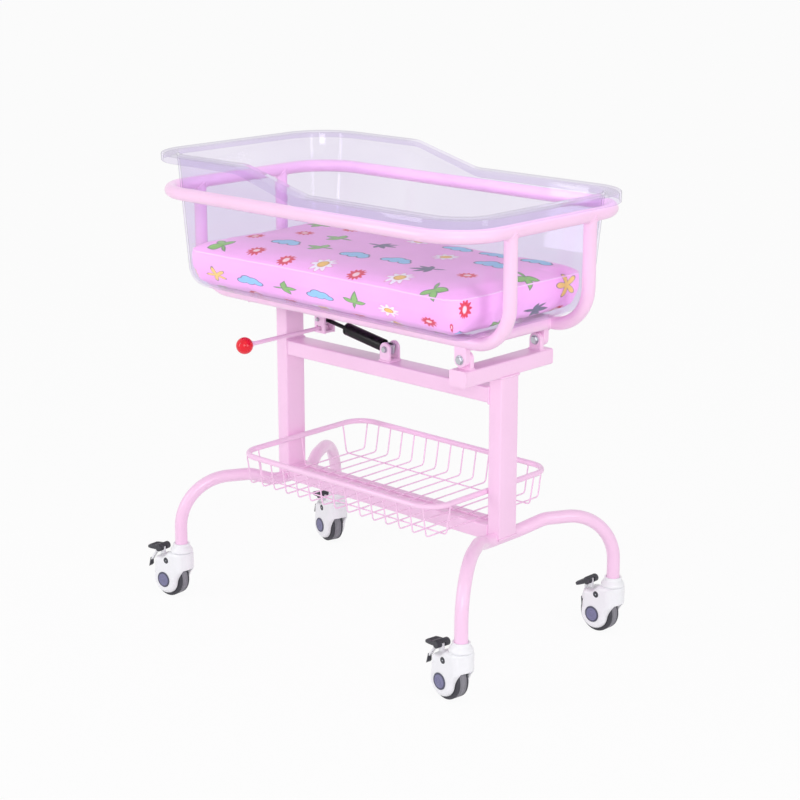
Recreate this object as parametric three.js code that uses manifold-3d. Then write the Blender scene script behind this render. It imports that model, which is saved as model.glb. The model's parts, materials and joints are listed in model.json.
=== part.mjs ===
// Hospital bassinet. A cradle of bent tube carries a clear basin and a mattress, and tilts
// head up on a base of two posts with a wire basket and four braked castors.
// Millimetres, +Z up, +X towards the foot end, origin at the middle of the footprint.

import * as THREE from 'three';
import { mergeVertices } from 'three/addons/utils/BufferGeometryUtils.js';
import Module from 'manifold-3d';

// Gaps between pieces
const SEAT_GAP = 0.3; // pieces that rest on, or are welded to, each other
const PIN_GAP = 0.4; // round a pin, bolt or stem

// Round tube of the legs and the cradle
const TUBE_DIAMETER = 25;
const TUBE_BORE = 21;
const TUBE_SIDES = 12;
const BEND_ANGLE = THREE.MathUtils.degToRad(22.5); // turn between two stations of a bend

// Legs: one bent tube at each end, level under the post, then up, splayed and turned down
const LEG_SPLAY_X = 96.1; // the stems stand this far beyond the posts
const STEM_SPAN_Y = 445;
const LEG_LEVEL_Z = 232.5;
const LEG_LEVEL_SPAN = 100;
const LEG_RISE = 17.5; // from the level run under the post up to the splayed arm
const LEG_CLIMB = 0.26; // share of the splayed arm over which the tube climbs
const LEG_KINK_RADIUS = 55;
const LEG_DOWN_RADIUS = 100;

// Posts and beams of rectangular tube
const POST_INSET_X = 120.1; // from the ring's ends to the posts
const POST_DEPTH_X = 30;
const POST_WIDTH_Y = 50;
const BOX_WALL = 2;
const BASE_CENTRE_X = 16.65; // the base stands this far towards the foot from the ring's middle
const FOOT_POST_DROP = 83; // the top of the foot post, below the rails
const BEAM_HEIGHT = 30;
const LOWER_BEAM_DROP = 4.5; // its underside, below the legs' level run
const UPPER_BEAM_DROP = 52; // its underside, below the top of the foot post

// Hinge at the foot end
const CROSSBAR_REACH_Y = 9.1; // the crossbar's ends, beyond the rails
const CROSSBAR_DEPTH_X = 40;
const CROSSBAR_HEIGHT = 30;
const CROSSBAR_CAP = 3;
const HINGE_ABOVE_CROSSBAR = 18.5;
const FOOT_CROSS_OFFSET = 18; // the foot cross tube lies this far beyond the hinge
const LUG_RADIUS = 13.5;
const LUG_THICKNESS = 14;
const EAR_THICKNESS = 10;
const BOLT_DIAMETER = 10;
const BOLT_HEAD_DIAMETER = 17;
const BOLT_HEAD_HEIGHT = 5;
const BOLT_SIDES = 12;
const HEAD_SIDES = 6;
const EYE_STEPS = 8; // facets round the end of an ear, a lug or an eye

// Cradle: a ring round the basin, on two rails that run under it
const RING_CORNER_RADIUS = 95;
const RAIL_Z = 628.5;
const RING_ABOVE_RAILS = 210;
const RAIL_INSET_Y = 31.1; // from the ring's corner bend to the rail
const RAIL_BEND_RADIUS = 78;
const VENT_DIAMETER = 8; // hole in the ring inside the end of each rail

// Rubber stop on the head post, which the cradle rests on when it is level
const BUFFER_DIAMETER = 22;
const BUFFER_HEIGHT = 12;
const BUFFER_PLATE = 3;

// Gas spring, with its clevis on the upper beam and its bracket under the cradle
const CLEVIS_X = 12;
const CLEVIS_PIVOT_HEIGHT = 23.5;
const CLEVIS_RADIUS = 13.5;
const CLEVIS_WIDTH_Y = 30;
const CLEVIS_SLOT_Y = 20;
const CLEVIS_FLOOR = 4;
const SPRING_EYE_DIAMETER = 20;
const SPRING_EYE_WIDTH = 18;
const SPRING_NECK_DIAMETER = 14;
const SPRING_DIAMETER = 25;
const SPRING_BORE = 16;
const SPRING_START = 16;
const SPRING_END = 118;
const SPRING_BASE = 6;
const ROD_DIAMETER = 8;
const ROD_LENGTH = 156;
const ROD_EYE_DIAMETER = 18;
const RELEASE_PIVOT_SHIFT_X = -4; // the rod's pivot, from the middle of the bracket
const RELEASE_PIVOT_DROP = 50.5; // and below the rails

// Release bracket and lever
const BRACKET_CENTRE_X = -166;
const BRACKET_DEPTH_X = 28;
const BRACKET_DROP = 77.5; // its underside, below the rails
const BRACKET_WALL = 5;
const LEVER_SHIFT_X = -2; // the lever, from the middle of the bracket
const LEVER_DIAMETER = 8;
const LEVER_PIN_DIAMETER = 6;
const LEVER_EYE_DIAMETER = 14;
const LEVER_EYE_HEIGHT = 8;
const LEVER_PIN_Y = 2;
const LEVER_SWING = THREE.MathUtils.degToRad(6);
const LEVER_PIN_HEAD = 2;
const LEVER_WINDOW_GAP = 1;
const KNOB_Y = -213;
const KNOB_DIAMETER = 33;
const KNOB_SOCKET = 12;

// Castors
const WHEEL_DIAMETER = 75;
const WHEEL_WIDTH = 26;
const WHEEL_SIDES = 20;
const WHEEL_TRAIL = 30;
const TREAD_ROUND = 5;
const HUB_DIAMETER = 50;
const HUB_WIDTH = 22;
const AXLE_DIAMETER = 8;
const AXLE_CAP_DIAMETER = 32;
const AXLE_CAP_HEIGHT = 1.5;
const HOUSING_WIDTH = 49;
const HOUSING_TOP_Z = 99;
const HOUSING_EDGE = 6;
const HOUSING_CURVE_STEPS = 6;
const HOUSING_SLOT_GAP = 1.5;
const COVER_INSET = 7; // the round of the covers, inside the tread
const COVER_BACK_TURN = THREE.MathUtils.degToRad(162); // where the round of the covers starts
const COVER_FRONT_TURN = THREE.MathUtils.degToRad(355); // and where it ends
const COVER_FRONT_X = 16;
const COVER_FRONT_Z = 52;
const COVER_SWEEP_X = 2;
const COVER_SWEEP_Z = 46;
const COVER_BACK_X = -56.5;
const NECK_DIAMETER = 46;
const NECK_FRONT_Z = 64;
const SHOULDER_X = -20;
const SHOULDER_DROP = 16;
const COLLAR_DIAMETER = 45;
const COLLAR_BAND = 4;
const COLLAR_BULGE = 19.5;
const COLLAR_BULGE_RISE = 9;
const COLLAR_LIP_DIAMETER = 33.5;
const COLLAR_LIP_RISE = 12;
const COLLAR_HEIGHT = 17.7;
const COLLAR_SOCKET = 5;
const STEM_DIAMETER = 12;
const STEM_LENGTH = 9;
const TURNED_SIDES = 16;

// Brake pedals: a toe hinged on a lug of the housing, with a brake block on an arm below it
const PEDAL_PIVOT_X = -53.5;
const PEDAL_PIVOT_Z = 97;
const PEDAL_BARREL_DIAMETER = 11;
const PEDAL_PIN_DIAMETER = 6;
const PEDAL_WIDTH = 28;
const PEDAL_THICKNESS = 6.5;
const PEDAL_BEVEL = 1.5;
const PEDAL_TOE = 40;
const PEDAL_TOE_ROUND = 13;
const LUG_EYE_DIAMETER = 13;
const LUG_WIDTH = 10;
const LUG_DEPTH = 18;
const BRAKE_ARM_X = -30;
const BRAKE_ARM = 4;
const BRAKE_ARM_WIDTH = 8;
const BRAKE_BLOCK_TOP = -19;
const BRAKE_BLOCK_BOTTOM = -35;
const BRAKE_BLOCK_DEPTH = 12;
const BRAKE_BLOCK_WIDTH = 22;
const PEDAL_RELEASED = THREE.MathUtils.degToRad(-5);
const PEDAL_LOCKED = THREE.MathUtils.degToRad(-26);

// The castors as they stand, each with its own swivel in degrees
const CASTORS = [
  { name: 'head_front', end: -1, side: -1, swivel: 5, pedal: PEDAL_RELEASED },
  { name: 'foot_front', end: 1, side: -1, swivel: -8, pedal: PEDAL_RELEASED },
  { name: 'foot_back', end: 1, side: 1, swivel: -1, pedal: PEDAL_LOCKED },
  { name: 'head_back', end: -1, side: 1, swivel: -15, pedal: PEDAL_RELEASED },
];

// Wire basket on the lower beam
const BASKET_HEAD_ROOM = 8.25; // between the rim and the head post
const BASKET_FOOT_ROOM = 1.55; // and the foot post
const BASKET_RIM_WIDTH = 342;
const BASKET_RIM_RISE = 64; // above the lower beam
const BASKET_RIM_DIAMETER = 11;
const BASKET_CORNER_RADIUS = 45;
const BASKET_SIDE_SLOPE = 10;
const BASKET_WIRE = 4;
const BASKET_WIRE_SIDES = 6;
const BASKET_BEND_RADIUS = 8;
const BASKET_BEND_ANGLE = THREE.MathUtils.degToRad(45);
const BASKET_WELD = 0.5;
const BASKET_END_SLOPE = 10;
const BASKET_RIM_SIDES = 8;
const CROSS_WIRE_COUNT = 15;
const CROSS_WIRE_INSET = 22.5; // from the rim's end to the first cross wire
const LONG_WIRE_COUNT = 3;
const LONG_WIRE_INSET = 51; // from the rim's side to the first long wire

// Clear basin: a floor with a rounded edge, walls that open out to the mouth, and a turned-down rim
const BASIN_WALL = 4;
const BASIN_SIDE_SLOPE = 18.5;
const BASIN_FLOOR_EDGE = 47;
const BASIN_FLOOR_CORNER = 50;
const BASIN_MOUTH_LENGTH = 776;
const BASIN_MOUTH_WIDTH = 436;
const BASIN_MOUTH_CORNER = 70;
const BASIN_END_ROOM = 2; // between the mouth and the ring at each end
const BASIN_SIDE_ROOM = 6.5; // and along each side
const BASIN_RIM_REACH_X = 17.5; // the rim's edge, beyond the middle of the ring's tube
const BASIN_RIM_REACH_Y = 13;
const BASIN_RIM_CORNER = 105;
const BASIN_RIM_EDGE = 4;
const BASIN_LIP = 19.7; // from the ring up to the rim at the foot end
const BASIN_HEAD_RISE = 40;
const BASIN_RAMP_FOOT_X = 15;
const BASIN_RAMP_HEAD_X = -143;
const BASIN_RAMP_EASE = 25;

// Mattress: lies against the head end of the basin, rounded below to fit the basin's floor
const MATTRESS_END_ROOM = 22; // inside the basin's floor, on average of both ends
const MATTRESS_SIDE_ROOM = 8;
const MATTRESS_SHIFT_X = -14;
const MATTRESS_SIDE = 80;
const MATTRESS_CROWN = 7;
const MATTRESS_CORNER_RADIUS = 38;
const MATTRESS_TOP_EDGE = 10;
const MATTRESS_FLOOR_EDGE = 43;
const MATTRESS_PULL = 3;
const MATTRESS_SIDE_SHARES = [-0.8, -0.4, 0, 0.4, 0.8]; // points along each long side
const MATTRESS_CROWN_INSET = 60;
const MATTRESS_CROWN_SHARES = [0.7, 1]; // height of the crown at one inset and at two
const CORNER_STEPS = 5;
const DIAGONAL = 1 - Math.SQRT1_2; // inset of the middle of a quarter round, as a share of its radius

// Paint, plastics and rubber
const PINK_PAINT = { color: 0xf6c4dd, roughness: 0.35, metalness: 0 };
const ZINC = { color: 0xb9bcc2, roughness: 0.35, metalness: 1 };
const WHITE_PLASTIC = { color: 0xf1f1f5, roughness: 0.4, metalness: 0 };
const DARK_PLASTIC = { color: 0x33333c, roughness: 0.5, metalness: 0 };
const BLUE_GREY_PLASTIC = { color: 0x6d6c93, roughness: 0.45, metalness: 0 };
const TYRE_RUBBER = { color: 0x5d5c64, roughness: 0.7, metalness: 0 };
const BLACK_PAINT = { color: 0x121214, roughness: 0.3, metalness: 0 };
const RED_PLASTIC = { color: 0xd8101c, roughness: 0.12, metalness: 0 };
const CLEAR_PLASTIC = { color: 0xdcd6ea, roughness: 0.08, metalness: 0 };
const MATTRESS_CLOTH = { color: 0xf3a6cf, roughness: 0.7, metalness: 0 };

// Places worked out from the sizes above
const TUBE_RADIUS = TUBE_DIAMETER / 2;
const RING_LENGTH = BASIN_MOUTH_LENGTH + 2 * BASIN_END_ROOM + TUBE_DIAMETER;
const RING_WIDTH = BASIN_MOUTH_WIDTH + 2 * BASIN_SIDE_ROOM + TUBE_DIAMETER;
const RING_Z = RAIL_Z + RING_ABOVE_RAILS;
const RAIL_SPAN_Y = RING_WIDTH - 2 * (RING_CORNER_RADIUS + RAIL_INSET_Y);
const POST_SPAN = RING_LENGTH - 2 * POST_INSET_X;
const HEAD_POST_X = BASE_CENTRE_X - POST_SPAN / 2;
const FOOT_POST_X = BASE_CENTRE_X + POST_SPAN / 2;
const STEM_SPAN_X = POST_SPAN + 2 * LEG_SPLAY_X;
const LEG_ARM_Z = LEG_LEVEL_Z + LEG_RISE;
const POST_BOTTOM_Z = LEG_LEVEL_Z + TUBE_RADIUS + SEAT_GAP;
const FOOT_POST_TOP_Z = RAIL_Z - FOOT_POST_DROP;
const LOWER_BEAM_Z = LEG_LEVEL_Z - LOWER_BEAM_DROP;
const UPPER_BEAM_Z = FOOT_POST_TOP_Z - UPPER_BEAM_DROP;
const UPPER_BEAM_TOP_Z = UPPER_BEAM_Z + BEAM_HEIGHT;
const LOWER_BEAM_TOP_Z = LOWER_BEAM_Z + BEAM_HEIGHT;
const CROSSBAR_LENGTH_Y = RAIL_SPAN_Y + 2 * CROSSBAR_REACH_Y;
const CROSSBAR_Z = FOOT_POST_TOP_Z + SEAT_GAP;
const CROSSBAR_TOP_Z = CROSSBAR_Z + CROSSBAR_HEIGHT;
const HINGE_X = FOOT_POST_X + (POST_DEPTH_X - CROSSBAR_DEPTH_X) / 2;
const HINGE_Z = CROSSBAR_TOP_Z + HINGE_ABOVE_CROSSBAR;
const RAIL_UNDERSIDE_Z = RAIL_Z - TUBE_RADIUS;
const BASIN_BOTTOM_Z = RAIL_Z + TUBE_RADIUS + SEAT_GAP;
const BASIN_FLOOR_LENGTH = RING_LENGTH - 2 * RAIL_BEND_RADIUS + 2 * BASIN_FLOOR_EDGE;
const BASIN_FLOOR_WIDTH = BASIN_MOUTH_WIDTH - 2 * BASIN_SIDE_SLOPE;
const BASIN_RIM_LENGTH = RING_LENGTH + 2 * BASIN_RIM_REACH_X;
const BASIN_RIM_WIDTH = RING_WIDTH + 2 * BASIN_RIM_REACH_Y;
const BASIN_LIP_Z = RING_Z + TUBE_RADIUS + SEAT_GAP;
const BASIN_FOOT_RIM_Z = BASIN_LIP_Z + BASIN_LIP;
const MATTRESS_LENGTH = BASIN_FLOOR_LENGTH - 2 * MATTRESS_END_ROOM;
const MATTRESS_WIDTH = BASIN_FLOOR_WIDTH - 2 * MATTRESS_SIDE_ROOM;
const BASKET_RIM_SPACE = POST_SPAN - POST_DEPTH_X - BASKET_HEAD_ROOM - BASKET_FOOT_ROOM;
const BASKET_RIM_LENGTH = BASKET_RIM_SPACE - BASKET_RIM_DIAMETER;
const BASKET_CENTRE_X = BASE_CENTRE_X + (BASKET_HEAD_ROOM - BASKET_FOOT_ROOM) / 2;
const BASKET_FLOOR_WIDTH = BASKET_RIM_WIDTH - 2 * BASKET_SIDE_SLOPE;
const BASKET_RIM_Z = LOWER_BEAM_TOP_Z + BASKET_RIM_RISE;
const CLEVIS_PIVOT_Z = UPPER_BEAM_TOP_Z + SEAT_GAP + CLEVIS_PIVOT_HEIGHT;
const EAR_Y = RAIL_SPAN_Y / 2 - (LUG_THICKNESS + EAR_THICKNESS) / 2 - SEAT_GAP;
const HEAD_POST_TOP_Z = RAIL_UNDERSIDE_Z - BUFFER_HEIGHT - BUFFER_PLATE - 2 * SEAT_GAP;
const COLLAR_TOP_Z = HOUSING_TOP_Z + SEAT_GAP + COLLAR_HEIGHT;
const LEG_END_Z = COLLAR_TOP_Z - COLLAR_SOCKET;
const BRACKET_TOP_Z = RAIL_UNDERSIDE_Z - SEAT_GAP;
const BRACKET_BOTTOM_Z = RAIL_Z - BRACKET_DROP;
const RELEASE_PIVOT_X = BRACKET_CENTRE_X + RELEASE_PIVOT_SHIFT_X;
const RELEASE_PIVOT_Z = RAIL_Z - RELEASE_PIVOT_DROP;
const LEVER_X = BRACKET_CENTRE_X + LEVER_SHIFT_X;
const LEVER_Z = BRACKET_BOTTOM_Z + BRACKET_WALL + SEAT_GAP + LEVER_EYE_HEIGHT / 2;
const WHEEL_RADIUS = WHEEL_DIAMETER / 2;
const COVER_RADIUS = WHEEL_RADIUS - COVER_INSET;
const SPRING_RISE = Math.atan2(RELEASE_PIVOT_Z - CLEVIS_PIVOT_Z, CLEVIS_X - RELEASE_PIVOT_X);

const wasm = await Module();
wasm.setup();

function toSolid(geometry) {
  const bare = geometry.clone();
  bare.deleteAttribute('normal');
  bare.deleteAttribute('uv');
  const merged = mergeVertices(bare);
  const vertProperties = new Float32Array(merged.attributes.position.array);
  const triVerts = new Uint32Array(merged.index.array);
  return new wasm.Manifold(new wasm.Mesh({ numProp: 3, vertProperties, triVerts }));
}

function toGeometry(solid) {
  const mesh = solid.getMesh();
  const geometry = new THREE.BufferGeometry();
  geometry.setAttribute('position', new THREE.BufferAttribute(mesh.vertProperties, 3));
  geometry.setIndex(new THREE.BufferAttribute(mesh.triVerts, 1));
  return geometry;
}

function cut(geometry, ...tools) {
  return toGeometry(tools.reduce((solid, tool) => solid.subtract(toSolid(tool)), toSolid(geometry)));
}

function fuse(geometry, ...others) {
  return toGeometry(others.reduce((solid, other) => solid.add(toSolid(other)), toSolid(geometry)));
}

function piece(name, geometry, finish) {
  const mesh = new THREE.Mesh(geometry, new THREE.MeshStandardMaterial(finish));
  mesh.name = name;
  return mesh;
}

function box(sizeX, sizeY, sizeZ, x, y, z) {
  return new THREE.BoxGeometry(sizeX, sizeY, sizeZ).translate(x, y, z);
}

// How far the corners of a polygon stand from its middle when its flats touch the circle
function cornerReach(diameter, sides) {
  return diameter / 2 / Math.cos(Math.PI / sides);
}

function polygon(diameter, sides) {
  const reach = cornerReach(diameter, sides);
  return Array.from({ length: sides }, (_, i) => {
    const angle = ((i + 0.5) / sides) * 2 * Math.PI;
    return new THREE.Vector2(reach * Math.cos(angle), reach * Math.sin(angle));
  });
}

function roundSection(diameter, bore = 0, sides = TUBE_SIDES) {
  const section = new THREE.Shape(polygon(diameter, sides));
  if (bore > 0) section.holes.push(new THREE.Path(polygon(bore, sides)));
  return section;
}

// A rectangular tube's section, centred on the origin
function tubeSection(width, height, wall) {
  const corners = (x, y) => {
    const pairs = [[-x, -y], [x, -y], [x, y], [-x, y]];
    return pairs.map((pair) => new THREE.Vector2(...pair));
  };
  const section = new THREE.Shape(corners(width / 2, height / 2));
  section.holes.push(new THREE.Path(corners(width / 2 - wall, height / 2 - wall)));
  return section;
}

// A straight length of a section, centred on the origin along Z
function straight(section, length) {
  const options = { depth: length, bevelEnabled: false, curveSegments: EYE_STEPS };
  const geometry = new THREE.ExtrudeGeometry(section, options);
  return geometry.translate(0, 0, -length / 2);
}

const alongX = (geometry) => geometry.rotateY(Math.PI / 2);
const alongY = (geometry) => geometry.rotateX(Math.PI / 2);

function rod(diameter, length, sides = TUBE_SIDES) {
  return straight(roundSection(diameter, 0, sides), length);
}

// A plate drawn in the XZ plane and centred on it
function sidePlate(outline, thickness) {
  return alongY(straight(outline, thickness));
}

// A solid of revolution about Z, from (radius, height) pairs. The profile starts and ends on
// the axis or closes on itself, and its flats touch the radius given.
function turned(profile, segments) {
  const points = profile.map(([radius, height]) => {
    return new THREE.Vector2(cornerReach(2 * radius, segments), height);
  });
  return new THREE.LatheGeometry(points, segments, Math.PI / segments).rotateX(Math.PI / 2);
}

// A path through corners that are rounded to a bend radius. Its stations fall on the ends
// of the straights and evenly round each bend, and side stays square to the first run.
class BentPath extends THREE.Curve {
  constructor(corners, radii, side, bendAngle) {
    super();
    this.bendAngle = bendAngle;
    this.side = side;
    this.points = [corners[0]];
    this.directions = [corners[1].clone().sub(corners[0]).normalize()];
    corners.slice(1, -1).forEach((corner, i) => this.bend(corner, corners[i + 2], radii[i]));
    this.points.push(corners.at(-1));
    this.directions.push(this.directions.at(-1));
    this.steps = this.points.length - 1;
  }

  bend(corner, next, radius) {
    const before = this.directions.at(-1);
    const after = next.clone().sub(corner).normalize();
    const turn = before.angleTo(after);
    const axis = before.clone().cross(after).normalize();
    const start = corner.clone().addScaledVector(before, -radius * Math.tan(turn / 2));
    const centre = axis.clone().cross(before).multiplyScalar(radius).add(start);
    const steps = Math.ceil(turn / this.bendAngle);
    for (let step = 0; step <= steps; step += 1) {
      const angle = (turn * step) / steps;
      this.points.push(start.clone().sub(centre).applyAxisAngle(axis, angle).add(centre));
      this.directions.push(before.clone().applyAxisAngle(axis, angle));
    }
  }

  getPointAt(u, target = new THREE.Vector3()) {
    return target.copy(this.points[Math.round(u * this.steps)]);
  }

  getTangentAt(u, target = new THREE.Vector3()) {
    return target.copy(this.directions[Math.round(u * this.steps)]);
  }

  computeFrenetFrames() {
    const turn = new THREE.Quaternion();
    const normals = [this.side];
    for (let i = 1; i <= this.steps; i += 1) {
      turn.setFromUnitVectors(this.directions[i - 1], this.directions[i]);
      normals.push(normals[i - 1].clone().applyQuaternion(turn));
    }
    const binormals = normals.map((normal, i) => this.directions[i].clone().cross(normal));
    return { tangents: this.directions, normals, binormals };
  }
}

function bentTube(corners, radii, side, section, bendAngle = BEND_ANGLE) {
  const extrudePath = new BentPath(corners, radii, side, bendAngle);
  const { steps } = extrudePath;
  return new THREE.ExtrudeGeometry(section, { steps, extrudePath, bevelEnabled: false });
}

// A rounded rectangle, anticlockwise, with extra points on its long sides at the X given
function roundedRing(halfX, halfY, radius, height, sidePoints = []) {
  const ring = [];
  const add = (x, y) => ring.push(new THREE.Vector3(x, y, height(x, y)));
  const corners = [[1, 1], [-1, 1], [-1, -1], [1, -1]];
  corners.forEach(([signX, signY], corner) => {
    for (let step = 0; step <= CORNER_STEPS; step += 1) {
      const angle = (corner + step / CORNER_STEPS) * (Math.PI / 2);
      const x = signX * (halfX - radius) + radius * Math.cos(angle);
      const y = signY * (halfY - radius) + radius * Math.sin(angle);
      add(x, y);
    }
    if (corner === 0) [...sidePoints].reverse().forEach((x) => add(x, halfY));
    if (corner === 2) sidePoints.forEach((x) => add(x, -halfY));
  });
  return ring;
}

// A skin over rings of points, closed at both ends by a fan, or joined end to end
function loft(rings, joined = false) {
  const count = rings[0].length;
  const points = rings.flat();
  const faces = [];
  const spans = joined ? rings.length : rings.length - 1;
  for (let j = 0; j < spans; j += 1) {
    const low = j * count;
    const high = ((j + 1) % rings.length) * count;
    for (let i = 0; i < count; i += 1) {
      const k = (i + 1) % count;
      faces.push(low + i, low + k, high + k, low + i, high + k, high + i);
    }
  }
  if (!joined) {
    const middle = (ring) => ring.reduce((sum, p) => sum.add(p), new THREE.Vector3()).divideScalar(count);
    const first = points.push(middle(rings[0])) - 1;
    const last = points.push(middle(rings.at(-1))) - 1;
    const top = (rings.length - 1) * count;
    for (let i = 0; i < count; i += 1) {
      const k = (i + 1) % count;
      faces.push(first, k, i, last, top + i, top + k);
    }
  }
  const geometry = new THREE.BufferGeometry().setFromPoints(points);
  geometry.setIndex(faces);
  return geometry;
}

// A tube bent round a level rectangle with rounded corners
function ringTube(length, width, cornerRadius, z, diameter, sides) {
  const rings = polygon(diameter, sides).map(({ x: out, y: up }) =>
    roundedRing(length / 2 + out, width / 2 + out, cornerRadius + out, () => z + up));
  return loft(rings, true);
}

// A plate outline with a round end about the origin and a square end at the height given
function eyeOutline(radius, squareEnd) {
  const outline = new THREE.Shape();
  const up = squareEnd > 0;
  outline.moveTo(-radius, squareEnd);
  outline.lineTo(-radius, 0);
  outline.absarc(0, 0, radius, Math.PI, 0, !up);
  outline.lineTo(radius, squareEnd);
  outline.closePath();
  return outline;
}

// A bolt along Y with a hexagon head at one end and a nut at the other
function bolt(diameter, headDiameter, grip) {
  const reach = grip / 2 + SEAT_GAP;
  const head = (y) => alongY(rod(headDiameter, BOLT_HEAD_HEIGHT, HEAD_SIDES)).translate(0, y, 0);
  const shank = alongY(rod(diameter, grip + BOLT_HEAD_HEIGHT, BOLT_SIDES));
  return fuse(shank, head(-reach - BOLT_HEAD_HEIGHT / 2), head(reach + BOLT_HEAD_HEIGHT / 2));
}

function boltHole(diameter, length) {
  return alongY(rod(diameter + 2 * PIN_GAP, length, BOLT_SIDES));
}

const at = (x, y, z) => new THREE.Vector3(x, y, z);
const SIDES = [{ name: 'front', side: -1 }, { name: 'back', side: 1 }];
const ENDS = [{ name: 'head', end: -1 }, { name: 'foot', end: 1 }];

// A tube's outside with room for the weld, to cope the end of a piece that meets it
function cope(axis, x, y, z) {
  const room = axis(rod(TUBE_DIAMETER + 2 * SEAT_GAP, RING_LENGTH));
  return room.translate(x, y, z);
}

function leg({ name, end }) {
  const level = at(BASE_CENTRE_X + (end * POST_SPAN) / 2, LEG_LEVEL_SPAN / 2, LEG_LEVEL_Z);
  const arm = at(BASE_CENTRE_X + (end * STEM_SPAN_X) / 2, STEM_SPAN_Y / 2, LEG_ARM_Z);
  const climbed = level.clone().lerp(arm, LEG_CLIMB).setZ(LEG_ARM_Z);
  const foot = arm.clone().setZ(LEG_END_Z);
  const back = [level, climbed, arm, foot];
  const front = back.map(({ x, y, z }) => at(x, -y, z)).reverse();
  const kinks = [LEG_KINK_RADIUS, LEG_KINK_RADIUS];
  const radii = [LEG_DOWN_RADIUS, ...kinks, ...kinks, LEG_DOWN_RADIUS];
  const side = at(0, 0, 1).cross(arm.clone().sub(climbed)).normalize();
  const tube = bentTube([...front, ...back], radii, side, roundSection(TUBE_DIAMETER, TUBE_BORE));
  return piece(`leg_tube_${name}`, tube, PINK_PAINT);
}

function post(name, x, topZ) {
  const tube = straight(tubeSection(POST_DEPTH_X, POST_WIDTH_Y, BOX_WALL), topZ - POST_BOTTOM_Z);
  return piece(`post_${name}`, tube.translate(x, 0, (topZ + POST_BOTTOM_Z) / 2), PINK_PAINT);
}

function beam(name, bottomZ) {
  const length = POST_SPAN - POST_DEPTH_X - 2 * SEAT_GAP;
  const tube = alongX(straight(tubeSection(BEAM_HEIGHT, POST_WIDTH_Y, BOX_WALL), length));
  return piece(`${name}_beam`, tube.translate(BASE_CENTRE_X, 0, bottomZ + BEAM_HEIGHT / 2), PINK_PAINT);
}

function stopBuffer() {
  const plateZ = HEAD_POST_TOP_Z + SEAT_GAP + BUFFER_PLATE / 2;
  const plate = box(POST_DEPTH_X, POST_WIDTH_Y, BUFFER_PLATE, HEAD_POST_X, 0, plateZ);
  const pad = rod(BUFFER_DIAMETER, BUFFER_HEIGHT + BUFFER_PLATE / 2);
  pad.translate(HEAD_POST_X, 0, plateZ + (BUFFER_HEIGHT + BUFFER_PLATE / 2) / 2);
  return piece('stop_buffer', fuse(plate, pad), DARK_PLASTIC);
}

function crossbar() {
  const z = CROSSBAR_Z + CROSSBAR_HEIGHT / 2;
  const bar = alongY(straight(tubeSection(CROSSBAR_DEPTH_X, CROSSBAR_HEIGHT, BOX_WALL), CROSSBAR_LENGTH_Y));
  const capY = CROSSBAR_LENGTH_Y / 2 + SEAT_GAP + CROSSBAR_CAP / 2;
  const caps = SIDES.map(({ name, side }) => {
    const cap = box(CROSSBAR_DEPTH_X, CROSSBAR_CAP, CROSSBAR_HEIGHT, HINGE_X, side * capY, z);
    return piece(`crossbar_cap_${name}`, cap, PINK_PAINT);
  });
  return [piece('hinge_crossbar', bar.translate(HINGE_X, 0, z), PINK_PAINT), ...caps];
}

function hingeEar({ name, side }) {
  const outline = eyeOutline(LUG_RADIUS, SEAT_GAP - HINGE_ABOVE_CROSSBAR);
  const ear = cut(sidePlate(outline, EAR_THICKNESS), boltHole(BOLT_DIAMETER, 2 * EAR_THICKNESS));
  return piece(`hinge_ear_${name}`, ear.translate(HINGE_X, side * EAR_Y, HINGE_Z), PINK_PAINT);
}

function hingeLug({ name, side }) {
  const railY = (side * RAIL_SPAN_Y) / 2;
  const plate = sidePlate(eyeOutline(LUG_RADIUS, RAIL_Z - HINGE_Z), LUG_THICKNESS);
  const railRoom = cope(alongX, 0, 0, RAIL_Z - HINGE_Z);
  const crossRoom = cope(alongY, FOOT_CROSS_OFFSET, 0, RAIL_Z - HINGE_Z);
  const lug = cut(plate, boltHole(BOLT_DIAMETER, 2 * LUG_THICKNESS), railRoom, crossRoom);
  return piece(`hinge_lug_${name}`, lug.translate(HINGE_X, railY, HINGE_Z), PINK_PAINT);
}

function hingeBolt({ name, side }) {
  const grip = LUG_THICKNESS + EAR_THICKNESS + SEAT_GAP;
  const y = RAIL_SPAN_Y / 2 + LUG_THICKNESS / 2 - grip / 2;
  const pin = bolt(BOLT_DIAMETER, BOLT_HEAD_DIAMETER, grip);
  return piece(`hinge_bolt_${name}`, pin.translate(HINGE_X, side * y, HINGE_Z), ZINC);
}

function gasClevis() {
  const plate = sidePlate(eyeOutline(CLEVIS_RADIUS, -CLEVIS_PIVOT_HEIGHT), CLEVIS_WIDTH_Y);
  const slotHeight = CLEVIS_PIVOT_HEIGHT + CLEVIS_RADIUS;
  const slotZ = CLEVIS_FLOOR - CLEVIS_PIVOT_HEIGHT + slotHeight / 2;
  const slot = box(3 * CLEVIS_RADIUS, CLEVIS_SLOT_Y, slotHeight, 0, 0, slotZ);
  const clevis = cut(plate, slot, boltHole(BOLT_DIAMETER, 2 * CLEVIS_WIDTH_Y));
  return piece('gas_spring_clevis', clevis.translate(CLEVIS_X, 0, CLEVIS_PIVOT_Z), PINK_PAINT);
}

function springBolt(name, x, z) {
  const pin = bolt(BOLT_DIAMETER, BOLT_HEAD_DIAMETER, CLEVIS_WIDTH_Y);
  return piece(name, pin.translate(x, 0, z), ZINC);
}

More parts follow.
